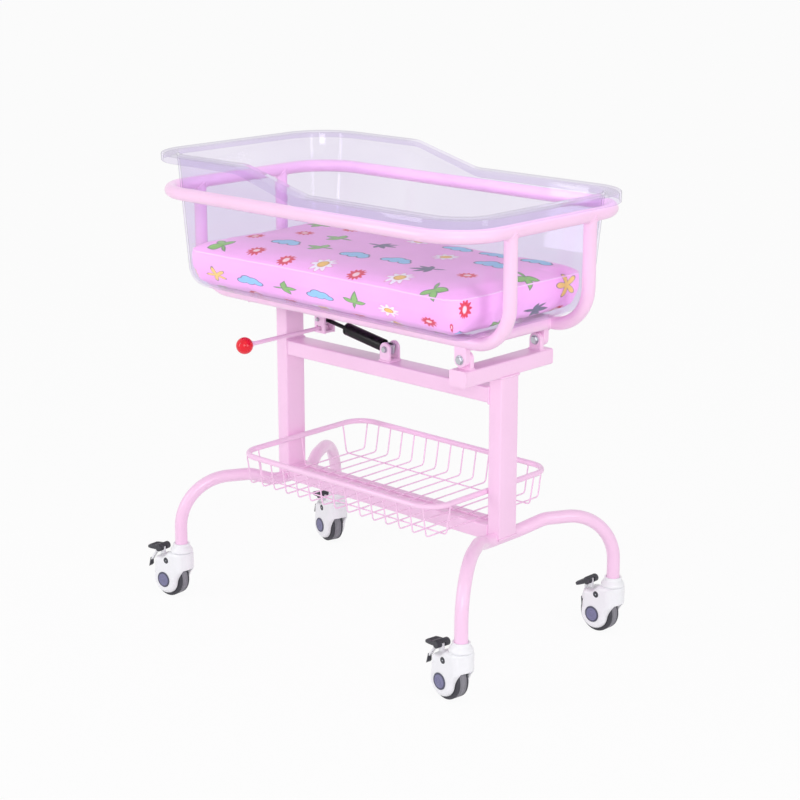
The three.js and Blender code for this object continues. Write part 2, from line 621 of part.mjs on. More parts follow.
// Both halves of the gas spring are drawn along Z from their pivots, then leant over
function gasCylinder() {
  const neck = SPRING_NECK_DIAMETER / 2;
  const outer = SPRING_DIAMETER / 2;
  const inner = SPRING_BORE / 2;
  const floor = SPRING_START + SPRING_BASE;
  const profile = [[0, neck / 2], [neck, neck / 2], [neck, SPRING_START], [outer, SPRING_START],
    [outer, SPRING_END], [inner, SPRING_END], [inner, floor], [0, floor]];
  const eye = alongY(rod(SPRING_EYE_DIAMETER, SPRING_EYE_WIDTH, TURNED_SIDES));
  const shell = fuse(turned(profile, TURNED_SIDES), eye);
  const cylinder = cut(shell, boltHole(BOLT_DIAMETER, 2 * SPRING_EYE_WIDTH));
  const mesh = piece('gas_spring_cylinder', cylinder, BLACK_PAINT);
  mesh.position.set(CLEVIS_X, 0, CLEVIS_PIVOT_Z);
  mesh.rotation.y = SPRING_RISE - Math.PI / 2;
  return mesh;
}

function gasRod() {
  const eye = alongY(rod(ROD_EYE_DIAMETER, SPRING_EYE_WIDTH, TURNED_SIDES));
  const shaft = rod(ROD_DIAMETER, ROD_LENGTH).translate(0, 0, -ROD_LENGTH / 2);
  const bar = cut(fuse(shaft, eye), boltHole(BOLT_DIAMETER, 2 * SPRING_EYE_WIDTH));
  const mesh = piece('gas_spring_rod', bar, BLACK_PAINT);
  mesh.position.set(RELEASE_PIVOT_X, 0, RELEASE_PIVOT_Z);
  mesh.rotation.y = SPRING_RISE - Math.PI / 2;
  return mesh;
}

function releaseBracket() {
  const height = BRACKET_TOP_Z - BRACKET_BOTTOM_Z;
  const middleZ = (BRACKET_TOP_Z + BRACKET_BOTTOM_Z) / 2;
  const block = box(BRACKET_DEPTH_X, CLEVIS_WIDTH_Y, height, BRACKET_CENTRE_X, 0, middleZ);
  const innerY = CLEVIS_WIDTH_Y - 2 * BRACKET_WALL;
  const innerHeight = height - 2 * BRACKET_WALL;
  const channel = box(2 * BRACKET_DEPTH_X, innerY, innerHeight, BRACKET_CENTRE_X, 0, middleZ);
  const hole = boltHole(BOLT_DIAMETER, 2 * CLEVIS_WIDTH_Y).translate(RELEASE_PIVOT_X, 0, RELEASE_PIVOT_Z);
  const swing = (LEVER_PIN_Y + CLEVIS_WIDTH_Y / 2) * Math.tan(LEVER_SWING);
  const windowX = LEVER_DIAMETER + 2 * LEVER_WINDOW_GAP + swing;
  const windowZ = LEVER_DIAMETER + 2 * LEVER_WINDOW_GAP;
  const window = box(windowX, CLEVIS_WIDTH_Y, windowZ, LEVER_X + swing / 2, -CLEVIS_WIDTH_Y / 2, LEVER_Z);
  const pinHole = rod(LEVER_PIN_DIAMETER + 2 * PIN_GAP, 3 * BRACKET_WALL);
  pinHole.translate(LEVER_X, LEVER_PIN_Y, BRACKET_BOTTOM_Z);
  return piece('release_bracket', cut(block, channel, hole, window, pinHole), PINK_PAINT);
}

function leverPin() {
  const headZ = BRACKET_BOTTOM_Z - SEAT_GAP;
  const topZ = LEVER_Z + LEVER_EYE_HEIGHT / 2;
  const radius = LEVER_PIN_DIAMETER / 2;
  const head = radius + LEVER_PIN_HEAD;
  const profile = [[0, headZ - LEVER_PIN_HEAD], [head, headZ - LEVER_PIN_HEAD], [head, headZ],
    [radius, headZ], [radius, topZ], [0, topZ]];
  const pin = turned(profile, BOLT_SIDES).translate(LEVER_X, LEVER_PIN_Y, 0);
  return piece('lever_pin', pin, ZINC);
}

function releaseLever() {
  const length = LEVER_PIN_Y - KNOB_Y - KNOB_DIAMETER / 2 + KNOB_SOCKET - SEAT_GAP;
  const shaft = alongY(rod(LEVER_DIAMETER, length)).translate(0, -length / 2, 0);
  const eye = rod(LEVER_EYE_DIAMETER, LEVER_EYE_HEIGHT, TURNED_SIDES);
  const pinHole = rod(LEVER_PIN_DIAMETER + 2 * PIN_GAP, 2 * LEVER_EYE_HEIGHT);
  const lever = cut(fuse(shaft, eye), pinHole).translate(LEVER_X, LEVER_PIN_Y, LEVER_Z);
  return piece('release_lever', lever, PINK_PAINT);
}

function ballKnob() {
  const ball = new THREE.SphereGeometry(KNOB_DIAMETER / 2, TURNED_SIDES, TURNED_SIDES / 2);
  const socket = alongY(rod(LEVER_DIAMETER + 2 * SEAT_GAP, 2 * KNOB_SOCKET));
  const knob = cut(ball, socket.translate(0, KNOB_DIAMETER / 2, 0));
  return piece('ball_knob', knob.translate(LEVER_X, KNOB_Y, LEVER_Z), RED_PLASTIC);
}

// A hollow ring, vented into the rails that are welded under it
function frameRing() {
  const round = (diameter) =>
    ringTube(RING_LENGTH, RING_WIDTH, RING_CORNER_RADIUS, RING_Z, diameter, TUBE_SIDES);
  const vents = ENDS.flatMap(({ end }) => SIDES.map(({ side }) => {
    const vent = rod(VENT_DIAMETER, TUBE_DIAMETER, EYE_STEPS);
    return vent.translate((end * RING_LENGTH) / 2, (side * RAIL_SPAN_Y) / 2, RING_Z - TUBE_RADIUS);
  }));
  return piece('frame_ring', cut(round(TUBE_DIAMETER), round(TUBE_BORE), ...vents), PINK_PAINT);
}

function rail({ name, side }) {
  const endX = RING_LENGTH / 2;
  const y = (side * RAIL_SPAN_Y) / 2;
  const corners = [at(-endX, y, RING_Z), at(-endX, y, RAIL_Z), at(endX, y, RAIL_Z), at(endX, y, RING_Z)];
  const radii = [RAIL_BEND_RADIUS, RAIL_BEND_RADIUS];
  const tube = bentTube(corners, radii, at(0, 1, 0), roundSection(TUBE_DIAMETER, TUBE_BORE));
  const ringBars = ENDS.map(({ end }) => cope(alongY, end * endX, 0, RING_Z));
  return piece(`cradle_rail_${name}`, cut(tube, ...ringBars), PINK_PAINT);
}

function crossTube(name, x) {
  const tube = alongY(straight(roundSection(TUBE_DIAMETER, TUBE_BORE), RAIL_SPAN_Y));
  const rails = SIDES.map(({ side }) => cope(alongX, 0, (side * RAIL_SPAN_Y) / 2, 0));
  return piece(`cross_tube_${name}`, cut(tube, ...rails).translate(x, 0, RAIL_Z), PINK_PAINT);
}

function basketRim() {
  const rim = ringTube(BASKET_RIM_LENGTH, BASKET_RIM_WIDTH, BASKET_CORNER_RADIUS, BASKET_RIM_Z,
    BASKET_RIM_DIAMETER, BASKET_RIM_SIDES);
  return piece('basket_rim', rim.translate(BASKET_CENTRE_X, 0, 0), PINK_PAINT);
}

// Cross wires hang from the long sides of the rim, over long wires that hang from its ends
function basketWires() {
  const topZ = BASKET_RIM_Z - BASKET_RIM_DIAMETER / 2 - SEAT_GAP;
  const wireReach = cornerReach(BASKET_WIRE, BASKET_WIRE_SIDES);
  const longZ = LOWER_BEAM_TOP_Z + SEAT_GAP + wireReach;
  const crossZ = longZ + BASKET_WIRE - BASKET_WELD;
  const section = roundSection(BASKET_WIRE, 0, BASKET_WIRE_SIDES);
  const radii = [BASKET_BEND_RADIUS, BASKET_BEND_RADIUS];
  const hung = (top, floor, z, along, side) => {
    const endZ = topZ - (wireReach * (top - floor)) / (topZ - z);
    const corners = [along(-top, endZ), along(-floor, z), along(floor, z), along(top, endZ)];
    return bentTube(corners, radii, side, section, BASKET_BEND_ANGLE);
  };
  const spaced = (count, span) => Array.from({ length: count }, (_, i) => (i / (count - 1) - 0.5) * span);
  const cross = spaced(CROSS_WIRE_COUNT, BASKET_RIM_LENGTH - 2 * CROSS_WIRE_INSET).map((x) =>
    hung(BASKET_RIM_WIDTH / 2, BASKET_FLOOR_WIDTH / 2, crossZ, (y, z) => at(x, y, z), at(1, 0, 0)));
  const longTop = BASKET_RIM_LENGTH / 2;
  const long = spaced(LONG_WIRE_COUNT, BASKET_RIM_WIDTH - 2 * LONG_WIRE_INSET).map((y) =>
    hung(longTop, longTop - BASKET_END_SLOPE, longZ, (x, z) => at(x, y, z), at(0, 1, 0)));
  return piece('basket_wires', fuse(...long, ...cross).translate(BASKET_CENTRE_X, 0, 0), PINK_PAINT);
}

// How far the rim is raised at X: nothing at the foot, then a ramp with eased ends
function rimRise(x) {
  const slope = BASIN_HEAD_RISE / (BASIN_RAMP_FOOT_X - BASIN_RAMP_HEAD_X);
  const eased = (run) => {
    if (run <= -BASIN_RAMP_EASE) return 0;
    if (run >= BASIN_RAMP_EASE) return run;
    return (run + BASIN_RAMP_EASE) ** 2 / (4 * BASIN_RAMP_EASE);
  };
  return slope * (eased(BASIN_RAMP_FOOT_X - x) - eased(BASIN_RAMP_HEAD_X - x));
}

function basin() {
  const bends = [BASIN_RAMP_HEAD_X, BASIN_RAMP_FOOT_X];
  const sidePoints = bends.flatMap((x) => [x - BASIN_RAMP_EASE, x, x + BASIN_RAMP_EASE]);
  const outline = (length, width, corner, height) => (inset, z) =>
    roundedRing(length / 2 - inset, width / 2 - inset, corner - inset, (x) => z + height(x), sidePoints);
  const floor = outline(BASIN_FLOOR_LENGTH, BASIN_FLOOR_WIDTH, BASIN_FLOOR_CORNER, () => 0);
  const mouth = outline(BASIN_MOUTH_LENGTH, BASIN_MOUTH_WIDTH, BASIN_MOUTH_CORNER, rimRise);
  const rim = outline(BASIN_RIM_LENGTH, BASIN_RIM_WIDTH, BASIN_RIM_CORNER, rimRise);
  const edge = BASIN_FLOOR_EDGE * DIAGONAL;
  const innerEdge = BASIN_WALL + (BASIN_FLOOR_EDGE - BASIN_WALL) * DIAGONAL;
  const wallZ = BASIN_BOTTOM_Z + BASIN_FLOOR_EDGE;
  const top = BASIN_FOOT_RIM_Z;
  const shell = loft([
    floor(BASIN_FLOOR_EDGE, BASIN_BOTTOM_Z),
    floor(edge, BASIN_BOTTOM_Z + edge),
    floor(0, wallZ),
    mouth(0, top - BASIN_WALL),
    rim(BASIN_WALL, top - BASIN_WALL),
    rim(BASIN_WALL, BASIN_LIP_Z),
    rim(0, BASIN_LIP_Z),
    rim(0, top - BASIN_RIM_EDGE),
    rim(BASIN_RIM_EDGE, top),
    mouth(BASIN_WALL, top),
    floor(BASIN_WALL, wallZ),
    floor(innerEdge, BASIN_BOTTOM_Z + innerEdge),
    floor(BASIN_FLOOR_EDGE, BASIN_BOTTOM_Z + BASIN_WALL),
  ]);
  return piece('basin', shell, CLEAR_PLASTIC);
}

// A crowned pad with rounded edges, drawn in a little along its sides
function mattress() {
  const bottomZ = BASIN_BOTTOM_Z + BASIN_WALL + SEAT_GAP;
  const topZ = bottomZ + MATTRESS_SIDE;
  const halfX = MATTRESS_LENGTH / 2;
  const halfY = MATTRESS_WIDTH / 2;
  const drawnIn = ({ x, y, z }) => {
    const pullX = (MATTRESS_PULL / halfX) * (1 - (y / halfY) ** 2);
    const pullY = (MATTRESS_PULL / halfY) * (1 - (x / halfX) ** 2);
    return at(x * (1 - pullX) + MATTRESS_SHIFT_X, y * (1 - pullY), z);
  };
  const ring = (inset, z) => {
    const radius = Math.max(MATTRESS_CORNER_RADIUS - inset, SEAT_GAP);
    const sidePoints = MATTRESS_SIDE_SHARES.map((share) => share * (halfX - inset - radius));
    return roundedRing(halfX - inset, halfY - inset, radius, () => z, sidePoints).map(drawnIn);
  };
  const low = MATTRESS_FLOOR_EDGE * DIAGONAL;
  const high = MATTRESS_TOP_EDGE * DIAGONAL;
  const pad = loft([
    ring(MATTRESS_FLOOR_EDGE, bottomZ),
    ring(low, bottomZ + low),
    ring(0, bottomZ + MATTRESS_FLOOR_EDGE),
    ring(0, topZ - MATTRESS_TOP_EDGE),
    ring(high, topZ - high),
    ring(MATTRESS_TOP_EDGE, topZ),
    ...MATTRESS_CROWN_SHARES.map((share, i) =>
      ring((i + 1) * MATTRESS_CROWN_INSET, topZ + share * MATTRESS_CROWN)),
  ]);
  return piece('mattress', pad, MATTRESS_CLOTH);
}

function castorCollar({ name, end, side }) {
  const bottom = HOUSING_TOP_Z + SEAT_GAP;
  const stem = STEM_DIAMETER / 2;
  const outer = COLLAR_DIAMETER / 2;
  const lip = COLLAR_LIP_DIAMETER / 2;
  const socket = cornerReach(TUBE_DIAMETER, TUBE_SIDES) + SEAT_GAP;
  const seat = LEG_END_Z - SEAT_GAP;
  const profile = [
    [0, bottom - STEM_LENGTH],
    [stem, bottom - STEM_LENGTH],
    [stem, bottom],
    [outer, bottom],
    [outer, bottom + COLLAR_BAND],
    [COLLAR_BULGE, bottom + COLLAR_BULGE_RISE],
    [lip, bottom + COLLAR_LIP_RISE],
    [lip, COLLAR_TOP_Z],
    [socket, COLLAR_TOP_Z],
    [socket, seat],
    [0, seat],
  ];
  const collar = turned(profile, TURNED_SIDES);
  const x = BASE_CENTRE_X + (end * STEM_SPAN_X) / 2;
  return piece(`castor_${name}_collar`, collar.translate(x, (side * STEM_SPAN_Y) / 2, 0), WHITE_PLASTIC);
}

// The covers and the fender in side view, domed towards both sides
function castorCovers() {
  const low = HOUSING_TOP_Z - SHOULDER_DROP;
  const outline = new THREE.Shape();
  outline.moveTo(COVER_FRONT_X, HOUSING_TOP_Z);
  outline.lineTo(SHOULDER_X, HOUSING_TOP_Z);
  outline.lineTo(SHOULDER_X - SHOULDER_DROP, low);
  outline.lineTo(COVER_BACK_X, low);
  outline.absarc(-WHEEL_TRAIL, WHEEL_RADIUS, COVER_RADIUS, COVER_BACK_TURN, COVER_FRONT_TURN, false);
  outline.quadraticCurveTo(COVER_SWEEP_X, COVER_SWEEP_Z, COVER_FRONT_X, COVER_FRONT_Z);
  outline.closePath();
  const plate = new THREE.ExtrudeGeometry(outline, {
    depth: HOUSING_WIDTH - 2 * HOUSING_EDGE,
    bevelThickness: HOUSING_EDGE,
    bevelSize: HOUSING_EDGE,
    bevelOffset: -HOUSING_EDGE,
    bevelSegments: 1,
    curveSegments: HOUSING_CURVE_STEPS,
  });
  return alongY(plate.translate(0, 0, HOUSING_EDGE - HOUSING_WIDTH / 2));
}

// The round neck under the stem, cut away below along a line that rises to the front
function castorNeck() {
  const height = HOUSING_TOP_Z - WHEEL_RADIUS;
  const neck = rod(NECK_DIAMETER, height, TURNED_SIDES).translate(0, 0, WHEEL_RADIUS + height / 2);
  const rise = (NECK_FRONT_Z - COVER_FRONT_Z) / (NECK_DIAMETER / 2 - COVER_FRONT_X);
  const reach = NECK_DIAMETER;
  const below = new THREE.Shape([
    new THREE.Vector2(COVER_FRONT_X, COVER_FRONT_Z),
    new THREE.Vector2(COVER_FRONT_X, 0),
    new THREE.Vector2(reach, 0),
    new THREE.Vector2(reach, COVER_FRONT_Z + rise * (reach - COVER_FRONT_X)),
  ]);
  return cut(neck, sidePlate(below, 2 * HOUSING_WIDTH));
}

function castorHousing() {
  const lug = sidePlate(eyeOutline(LUG_EYE_DIAMETER / 2, -LUG_DEPTH), LUG_WIDTH);
  const slotDiameter = WHEEL_DIAMETER + 4 * HOUSING_SLOT_GAP;
  const slot = alongY(rod(slotDiameter, WHEEL_WIDTH + 2 * HOUSING_SLOT_GAP, WHEEL_SIDES));
  const axleHole = boltHole(AXLE_DIAMETER, 2 * HOUSING_WIDTH);
  const stemHole = rod(STEM_DIAMETER + 2 * PIN_GAP, 2 * (STEM_LENGTH + SEAT_GAP), TURNED_SIDES);
  const pinHole = boltHole(PEDAL_PIN_DIAMETER, 2 * LUG_WIDTH);
  return cut(
    fuse(castorCovers(), castorNeck(), lug.translate(PEDAL_PIVOT_X, 0, PEDAL_PIVOT_Z)),
    slot.translate(-WHEEL_TRAIL, 0, WHEEL_RADIUS),
    axleHole.translate(-WHEEL_TRAIL, 0, WHEEL_RADIUS),
    stemHole.translate(0, 0, HOUSING_TOP_Z),
    pinHole.translate(PEDAL_PIVOT_X, 0, PEDAL_PIVOT_Z),
  );
}

function castorTyre() {
  const inner = HUB_DIAMETER / 2;
  const half = WHEEL_WIDTH / 2;
  const shoulder = half - TREAD_ROUND;
  const profile = [[inner, -half], [WHEEL_RADIUS - TREAD_ROUND, -half], [WHEEL_RADIUS, -shoulder],
    [WHEEL_RADIUS, shoulder], [WHEEL_RADIUS - TREAD_ROUND, half], [inner, half], [inner, -half]];
  return alongY(turned(profile, WHEEL_SIDES));
}

function castorHub() {
  const bore = AXLE_DIAMETER / 2 + PIN_GAP;
  const outer = HUB_DIAMETER / 2 - SEAT_GAP;
  const half = HUB_WIDTH / 2;
  const profile = [[bore, -half], [outer, -half], [outer, half], [bore, half], [bore, -half]];
  return alongY(turned(profile, WHEEL_SIDES));
}

function castorAxle() {
  const pin = AXLE_DIAMETER / 2;
  const cap = AXLE_CAP_DIAMETER / 2;
  const seat = HOUSING_WIDTH / 2 + SEAT_GAP;
  const end = seat + AXLE_CAP_HEIGHT;
  const profile = [[0, -end], [cap, -end], [cap, -seat], [pin, -seat], [pin, seat], [cap, seat], [cap, end],
    [0, end]];
  return alongY(turned(profile, TURNED_SIDES));
}

// Drawn level about its pivot, toe towards -X, with room for the housing's lug in the middle.
// The brake block is hollowed to the wheel as it stands when the pedal is locked.
function brakePedal() {
  const half = PEDAL_WIDTH / 2;
  const roundX = PEDAL_TOE_ROUND - PEDAL_TOE;
  const quarter = Math.PI / 2;
  const outline = new THREE.Shape();
  outline.moveTo(0, half);
  outline.lineTo(roundX, half);
  outline.absellipse(roundX, 0, PEDAL_TOE_ROUND, half, quarter, 3 * quarter, false);
  outline.lineTo(0, -half);
  outline.closePath();
  const toe = new THREE.ExtrudeGeometry(outline, {
    depth: PEDAL_THICKNESS - 2 * PEDAL_BEVEL,
    bevelThickness: PEDAL_BEVEL,
    bevelSize: PEDAL_BEVEL,
    bevelOffset: -PEDAL_BEVEL,
    bevelSegments: 1,
    curveSegments: HOUSING_CURVE_STEPS,
  });
  toe.translate(0, 0, PEDAL_BEVEL - PEDAL_THICKNESS / 2);
  const arm = box(BRAKE_ARM, BRAKE_ARM_WIDTH, -BRAKE_BLOCK_TOP, BRAKE_ARM_X, 0, BRAKE_BLOCK_TOP / 2);
  const block = sidePlate(new THREE.Shape([
    new THREE.Vector2(BRAKE_ARM_X - BRAKE_ARM / 2, BRAKE_BLOCK_TOP),
    new THREE.Vector2(BRAKE_ARM_X - BRAKE_BLOCK_DEPTH / 2, BRAKE_BLOCK_BOTTOM),
    new THREE.Vector2(BRAKE_ARM_X + BRAKE_BLOCK_DEPTH / 2, BRAKE_BLOCK_BOTTOM),
    new THREE.Vector2(BRAKE_ARM_X + BRAKE_ARM / 2, BRAKE_BLOCK_TOP),
  ]), BRAKE_BLOCK_WIDTH);
  const wheel = at(-WHEEL_TRAIL - PEDAL_PIVOT_X, 0, WHEEL_RADIUS - PEDAL_PIVOT_Z);
  wheel.applyAxisAngle(at(0, 1, 0), -PEDAL_LOCKED);
  const wheelRoom = alongY(rod(WHEEL_DIAMETER + 4 * PIN_GAP, WHEEL_WIDTH, WHEEL_SIDES));
  wheelRoom.translate(wheel.x, 0, wheel.z);
  const barrel = alongY(rod(PEDAL_BARREL_DIAMETER, PEDAL_WIDTH));
  const lean = (PEDAL_THICKNESS / 2) * Math.sin(-PEDAL_LOCKED);
  const clear = (LUG_EYE_DIAMETER / 2 + 2 * SEAT_GAP + lean) / Math.cos(PEDAL_LOCKED);
  const roomDiameter = 2 * Math.hypot(clear, PEDAL_THICKNESS / 2);
  const lugRoom = alongY(rod(roomDiameter, LUG_WIDTH + 2 * SEAT_GAP, EYE_STEPS));
  const pin = alongY(rod(PEDAL_PIN_DIAMETER, PEDAL_WIDTH, EYE_STEPS));
  return fuse(cut(fuse(toe, barrel, arm, block), lugRoom, wheelRoom), pin);
}

function castor({ name, end, side, swivel, pedal }) {
  const group = new THREE.Group();
  group.position.set(BASE_CENTRE_X + (end * STEM_SPAN_X) / 2, (side * STEM_SPAN_Y) / 2, 0);
  group.rotation.z = THREE.MathUtils.degToRad(swivel);
  const wheel = new THREE.Group();
  wheel.position.set(-WHEEL_TRAIL, 0, WHEEL_RADIUS);
  wheel.add(piece(`castor_${name}_tyre`, castorTyre(), TYRE_RUBBER));
  wheel.add(piece(`castor_${name}_hub`, castorHub(), WHITE_PLASTIC));
  wheel.add(piece(`castor_${name}_axle`, castorAxle(), BLUE_GREY_PLASTIC));
  const rocker = piece(`castor_${name}_pedal`, brakePedal(), DARK_PLASTIC);
  rocker.position.set(PEDAL_PIVOT_X, 0, PEDAL_PIVOT_Z);
  rocker.rotation.y = pedal;
  group.add(wheel, rocker, piece(`castor_${name}_housing`, castorHousing(), WHITE_PLASTIC));
  return group;
}

const base = new THREE.Group();
base.add(
  ...ENDS.map(leg),
  post('head', HEAD_POST_X, HEAD_POST_TOP_Z),
  post('foot', FOOT_POST_X, FOOT_POST_TOP_Z),
  beam('lower', LOWER_BEAM_Z),
  beam('upper', UPPER_BEAM_Z),
  stopBuffer(),
  ...crossbar(),
  ...SIDES.map(hingeEar),
  ...SIDES.map(hingeBolt),
  gasClevis(),
  springBolt('clevis_bolt', CLEVIS_X, CLEVIS_PIVOT_Z),
  basketRim(),
  basketWires(),
  ...CASTORS.map(castorCollar),
  ...CASTORS.map(castor),
);

const cradle = new THREE.Group();
cradle.add(
  frameRing(),
  ...SIDES.map(rail),
  crossTube('head', HEAD_POST_X),
  crossTube('release', BRACKET_CENTRE_X),
  crossTube('foot', HINGE_X + FOOT_CROSS_OFFSET),
  ...SIDES.map(hingeLug),
  releaseBracket(),
  springBolt('bracket_bolt', RELEASE_PIVOT_X, RELEASE_PIVOT_Z),
  leverPin(),
  releaseLever(),
  ballKnob(),
  basin(),
  mattress(),
);

// The origin is under the middle of the whole, at floor level
const assembly = new THREE.Group();
assembly.add(base, cradle, gasCylinder(), gasRod());
const bounds = new THREE.Box3().setFromObject(assembly, true);
const middle = bounds.getCenter(new THREE.Vector3());
assembly.position.set(-middle.x, -middle.y, -bounds.min.z);

const bassinet = new THREE.Group();
bassinet.add(assembly);

export default bassinet;
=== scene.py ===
import json
import math

import bmesh
import bpy
from mathutils import Matrix, Vector, noise
from mathutils.bvhtree import BVHTree


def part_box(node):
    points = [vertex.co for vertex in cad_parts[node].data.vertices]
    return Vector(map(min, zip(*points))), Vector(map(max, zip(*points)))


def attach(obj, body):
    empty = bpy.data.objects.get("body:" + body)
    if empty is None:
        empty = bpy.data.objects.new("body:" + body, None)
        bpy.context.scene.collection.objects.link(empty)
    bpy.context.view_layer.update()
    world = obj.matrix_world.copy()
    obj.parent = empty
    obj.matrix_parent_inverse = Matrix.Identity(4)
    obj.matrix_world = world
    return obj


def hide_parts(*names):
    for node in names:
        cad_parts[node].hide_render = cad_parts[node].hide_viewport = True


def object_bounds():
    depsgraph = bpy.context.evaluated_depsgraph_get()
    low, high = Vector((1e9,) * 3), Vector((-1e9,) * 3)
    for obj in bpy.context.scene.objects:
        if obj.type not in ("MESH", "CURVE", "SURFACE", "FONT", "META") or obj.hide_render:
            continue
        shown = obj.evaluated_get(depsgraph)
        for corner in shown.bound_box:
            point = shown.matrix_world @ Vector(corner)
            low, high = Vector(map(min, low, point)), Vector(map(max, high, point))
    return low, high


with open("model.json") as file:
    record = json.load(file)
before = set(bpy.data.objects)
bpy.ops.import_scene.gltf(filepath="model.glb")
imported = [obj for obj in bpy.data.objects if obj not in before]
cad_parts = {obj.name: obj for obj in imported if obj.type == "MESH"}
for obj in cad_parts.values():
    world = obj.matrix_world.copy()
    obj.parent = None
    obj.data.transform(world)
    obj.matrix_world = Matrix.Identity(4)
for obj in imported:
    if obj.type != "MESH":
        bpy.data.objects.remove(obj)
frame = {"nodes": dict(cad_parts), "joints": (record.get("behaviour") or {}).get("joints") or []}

cad_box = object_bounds()
joints = {joint["name"]: joint for joint in frame["joints"]}

# Legs: one bent tube at each end, level under its post, then splayed and turned down to the castors.
# Round steel tube of 25 mm, powder coated in gloss pink with the rest of the frame.
# Each is welded under its post, and its ends are pressed into the castors' collars.
TUBE_RADIUS = 0.0125
TUBE_SIDES = 32
BEND_STEP = math.radians(5)
LEG_LEVEL_Z = 0.2325
LEG_LEVEL_HALF = 0.05
LEG_ARM_Z = 0.25
LEG_END_Z = 0.112
LEG_CLIMB = 0.26
LEG_KINK_RADIUS = 0.055
LEG_DOWN_RADIUS = 0.1
PINK = (254, 211, 243)
PINK_ROUGHNESS = 0.32
PINK_DRIFT = 0.02
PINK_DRIFT_SIZE = 0.14
ORANGE_PEEL = 0.00003
ORANGE_PEEL_SIZE = 0.0028


def middle(node):
    low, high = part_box(node)
    return (low + high) / 2


def linear(red, green, blue):
    """A colour as it shows on a screen, from 0 to 255, as the light that it stands for."""
    return tuple(((c / 255 + 0.055) / 1.055) ** 2.4 for c in (red, green, blue))


def noise_of(tree, size, detail=2.0):
    """Noise with features of about that size in metres, fixed to the piece."""
    place = tree.nodes.new("ShaderNodeTexCoord")
    texture = tree.nodes.new("ShaderNodeTexNoise")
    texture.inputs["Scale"].default_value = 1 / size
    texture.inputs["Detail"].default_value = detail
    tree.links.new(place.outputs["Object"], texture.inputs["Vector"])
    return texture.outputs["Fac"]


def spread(tree, source, low, high, first=0.3, last=0.7):
    """The source between first and last, as a value from low to high."""
    node = tree.nodes.new("ShaderNodeMapRange")
    for name, value in zip(("From Min", "From Max", "To Min", "To Max"), (first, last, low, high)):
        node.inputs[name].default_value = value
    tree.links.new(source, node.inputs["Value"])
    return node.outputs["Result"]


def mixed(tree, factor, first, second):
    """Two colours mixed by a factor. A colour is three numbers or a socket."""
    node = tree.nodes.new("ShaderNodeMix")
    node.data_type = "RGBA"
    tree.links.new(factor, node.inputs[0])
    for socket, colour in ((node.inputs[6], first), (node.inputs[7], second)):
        if isinstance(colour, tuple):
            socket.default_value = (*colour, 1)
        else:
            tree.links.new(colour, socket)
    return node.outputs[2]


def relief(tree, shader, source, depth):
    """Raises the surface by the source, up to a depth in metres."""
    bump = tree.nodes.new("ShaderNodeBump")
    bump.inputs["Distance"].default_value = depth
    tree.links.new(source, bump.inputs["Height"])
    tree.links.new(bump.outputs["Normal"], shader.inputs["Normal"])


def finish(name, colour, roughness, drift, drift_size, grain, grain_size):
    """A finish whose tone drifts over the piece, with a fine grain in its gloss and its surface."""
    material = bpy.data.materials.new(name)
    material.use_nodes = True
    tree = material.node_tree
    shader = tree.nodes["Principled BSDF"]
    light = linear(*colour)
    deep = tuple(c * (1 - drift) for c in light)
    pale = tuple(min(1, c * (1 + drift)) for c in light)
    broad = spread(tree, noise_of(tree, drift_size), 0, 1)
    tree.links.new(mixed(tree, broad, deep, pale), shader.inputs["Base Color"])
    fine = noise_of(tree, grain_size, 3.0)
    tree.links.new(spread(tree, fine, 0.85 * roughness, 1.15 * roughness), shader.inputs["Roughness"])
    relief(tree, shader, fine, grain)
    return material


def lacquer(material, weight, roughness):
    """A clear coat over a finish."""
    shader = material.node_tree.nodes["Principled BSDF"]
    shader.inputs["Coat Weight"].default_value = weight
    shader.inputs["Coat Roughness"].default_value = roughness


pink_paint = finish("pink_paint", PINK, PINK_ROUGHNESS, PINK_DRIFT, PINK_DRIFT_SIZE, ORANGE_PEEL,
                    ORANGE_PEEL_SIZE)
lacquer(pink_paint, 0.3, 0.12)


def shaped(name, points, faces):
    """A smooth mesh whose sharper edges stay sharp."""
    mesh = bpy.data.meshes.new(name)
    mesh.from_pydata([tuple(point) for point in points], [], faces)
    mesh.shade_smooth()
    mesh.set_sharp_from_angle(angle=math.radians(40))
    piece = bpy.data.objects.new(name, mesh)
    bpy.context.scene.collection.objects.link(piece)
    return piece


def fit(piece, body, material, *nodes):
    """Gives a piece its finish and that finish's slot, puts it on its body, and lets it stand for CAD nodes."""
    piece.data.materials.clear()
    piece.data.materials.append(material)
    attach(piece, body)
    if nodes:
        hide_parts(*nodes)


def bent_line(corners, radii, step=BEND_STEP):
    """Points along a path through corners that are rounded to the bend radii."""
    line = [corners[0]]
    for corner, after, radius in zip(corners[1:-1], corners[2:], radii):
        into = (corner - line[-1]).normalized()
        out = (after - corner).normalized()
        turn = into.angle(out)
        axis = into.cross(out).normalized()
        start = corner - into * radius * math.tan(turn / 2)
        centre = start + axis.cross(into) * radius
        steps = max(1, math.ceil(turn / step))
        for i in range(steps + 1):
            spin = Matrix.Rotation(turn * i / steps, 3, axis)
            line.append(centre + spin @ (start - centre))
    line.append(corners[-1])
    return line


def joined_layers(name, layers, closed=False):
    """A skin over layers of points, with a flat face at each end unless the layers close on themselves."""
    count = len(layers[0])
    points = [point for layer in layers for point in layer]
    faces = []
    for i in range(len(layers) if closed else len(layers) - 1):
        low, high = i * count, (i + 1) % len(layers) * count
        for j in range(count):
            k = (j + 1) % count
            faces.append((low + j, low + k, high + k, high + j))
    if not closed:
        faces.append(tuple(reversed(range(count))))
        faces.append(tuple(range(len(points) - count, len(points))))
    return shaped(name, points, faces)


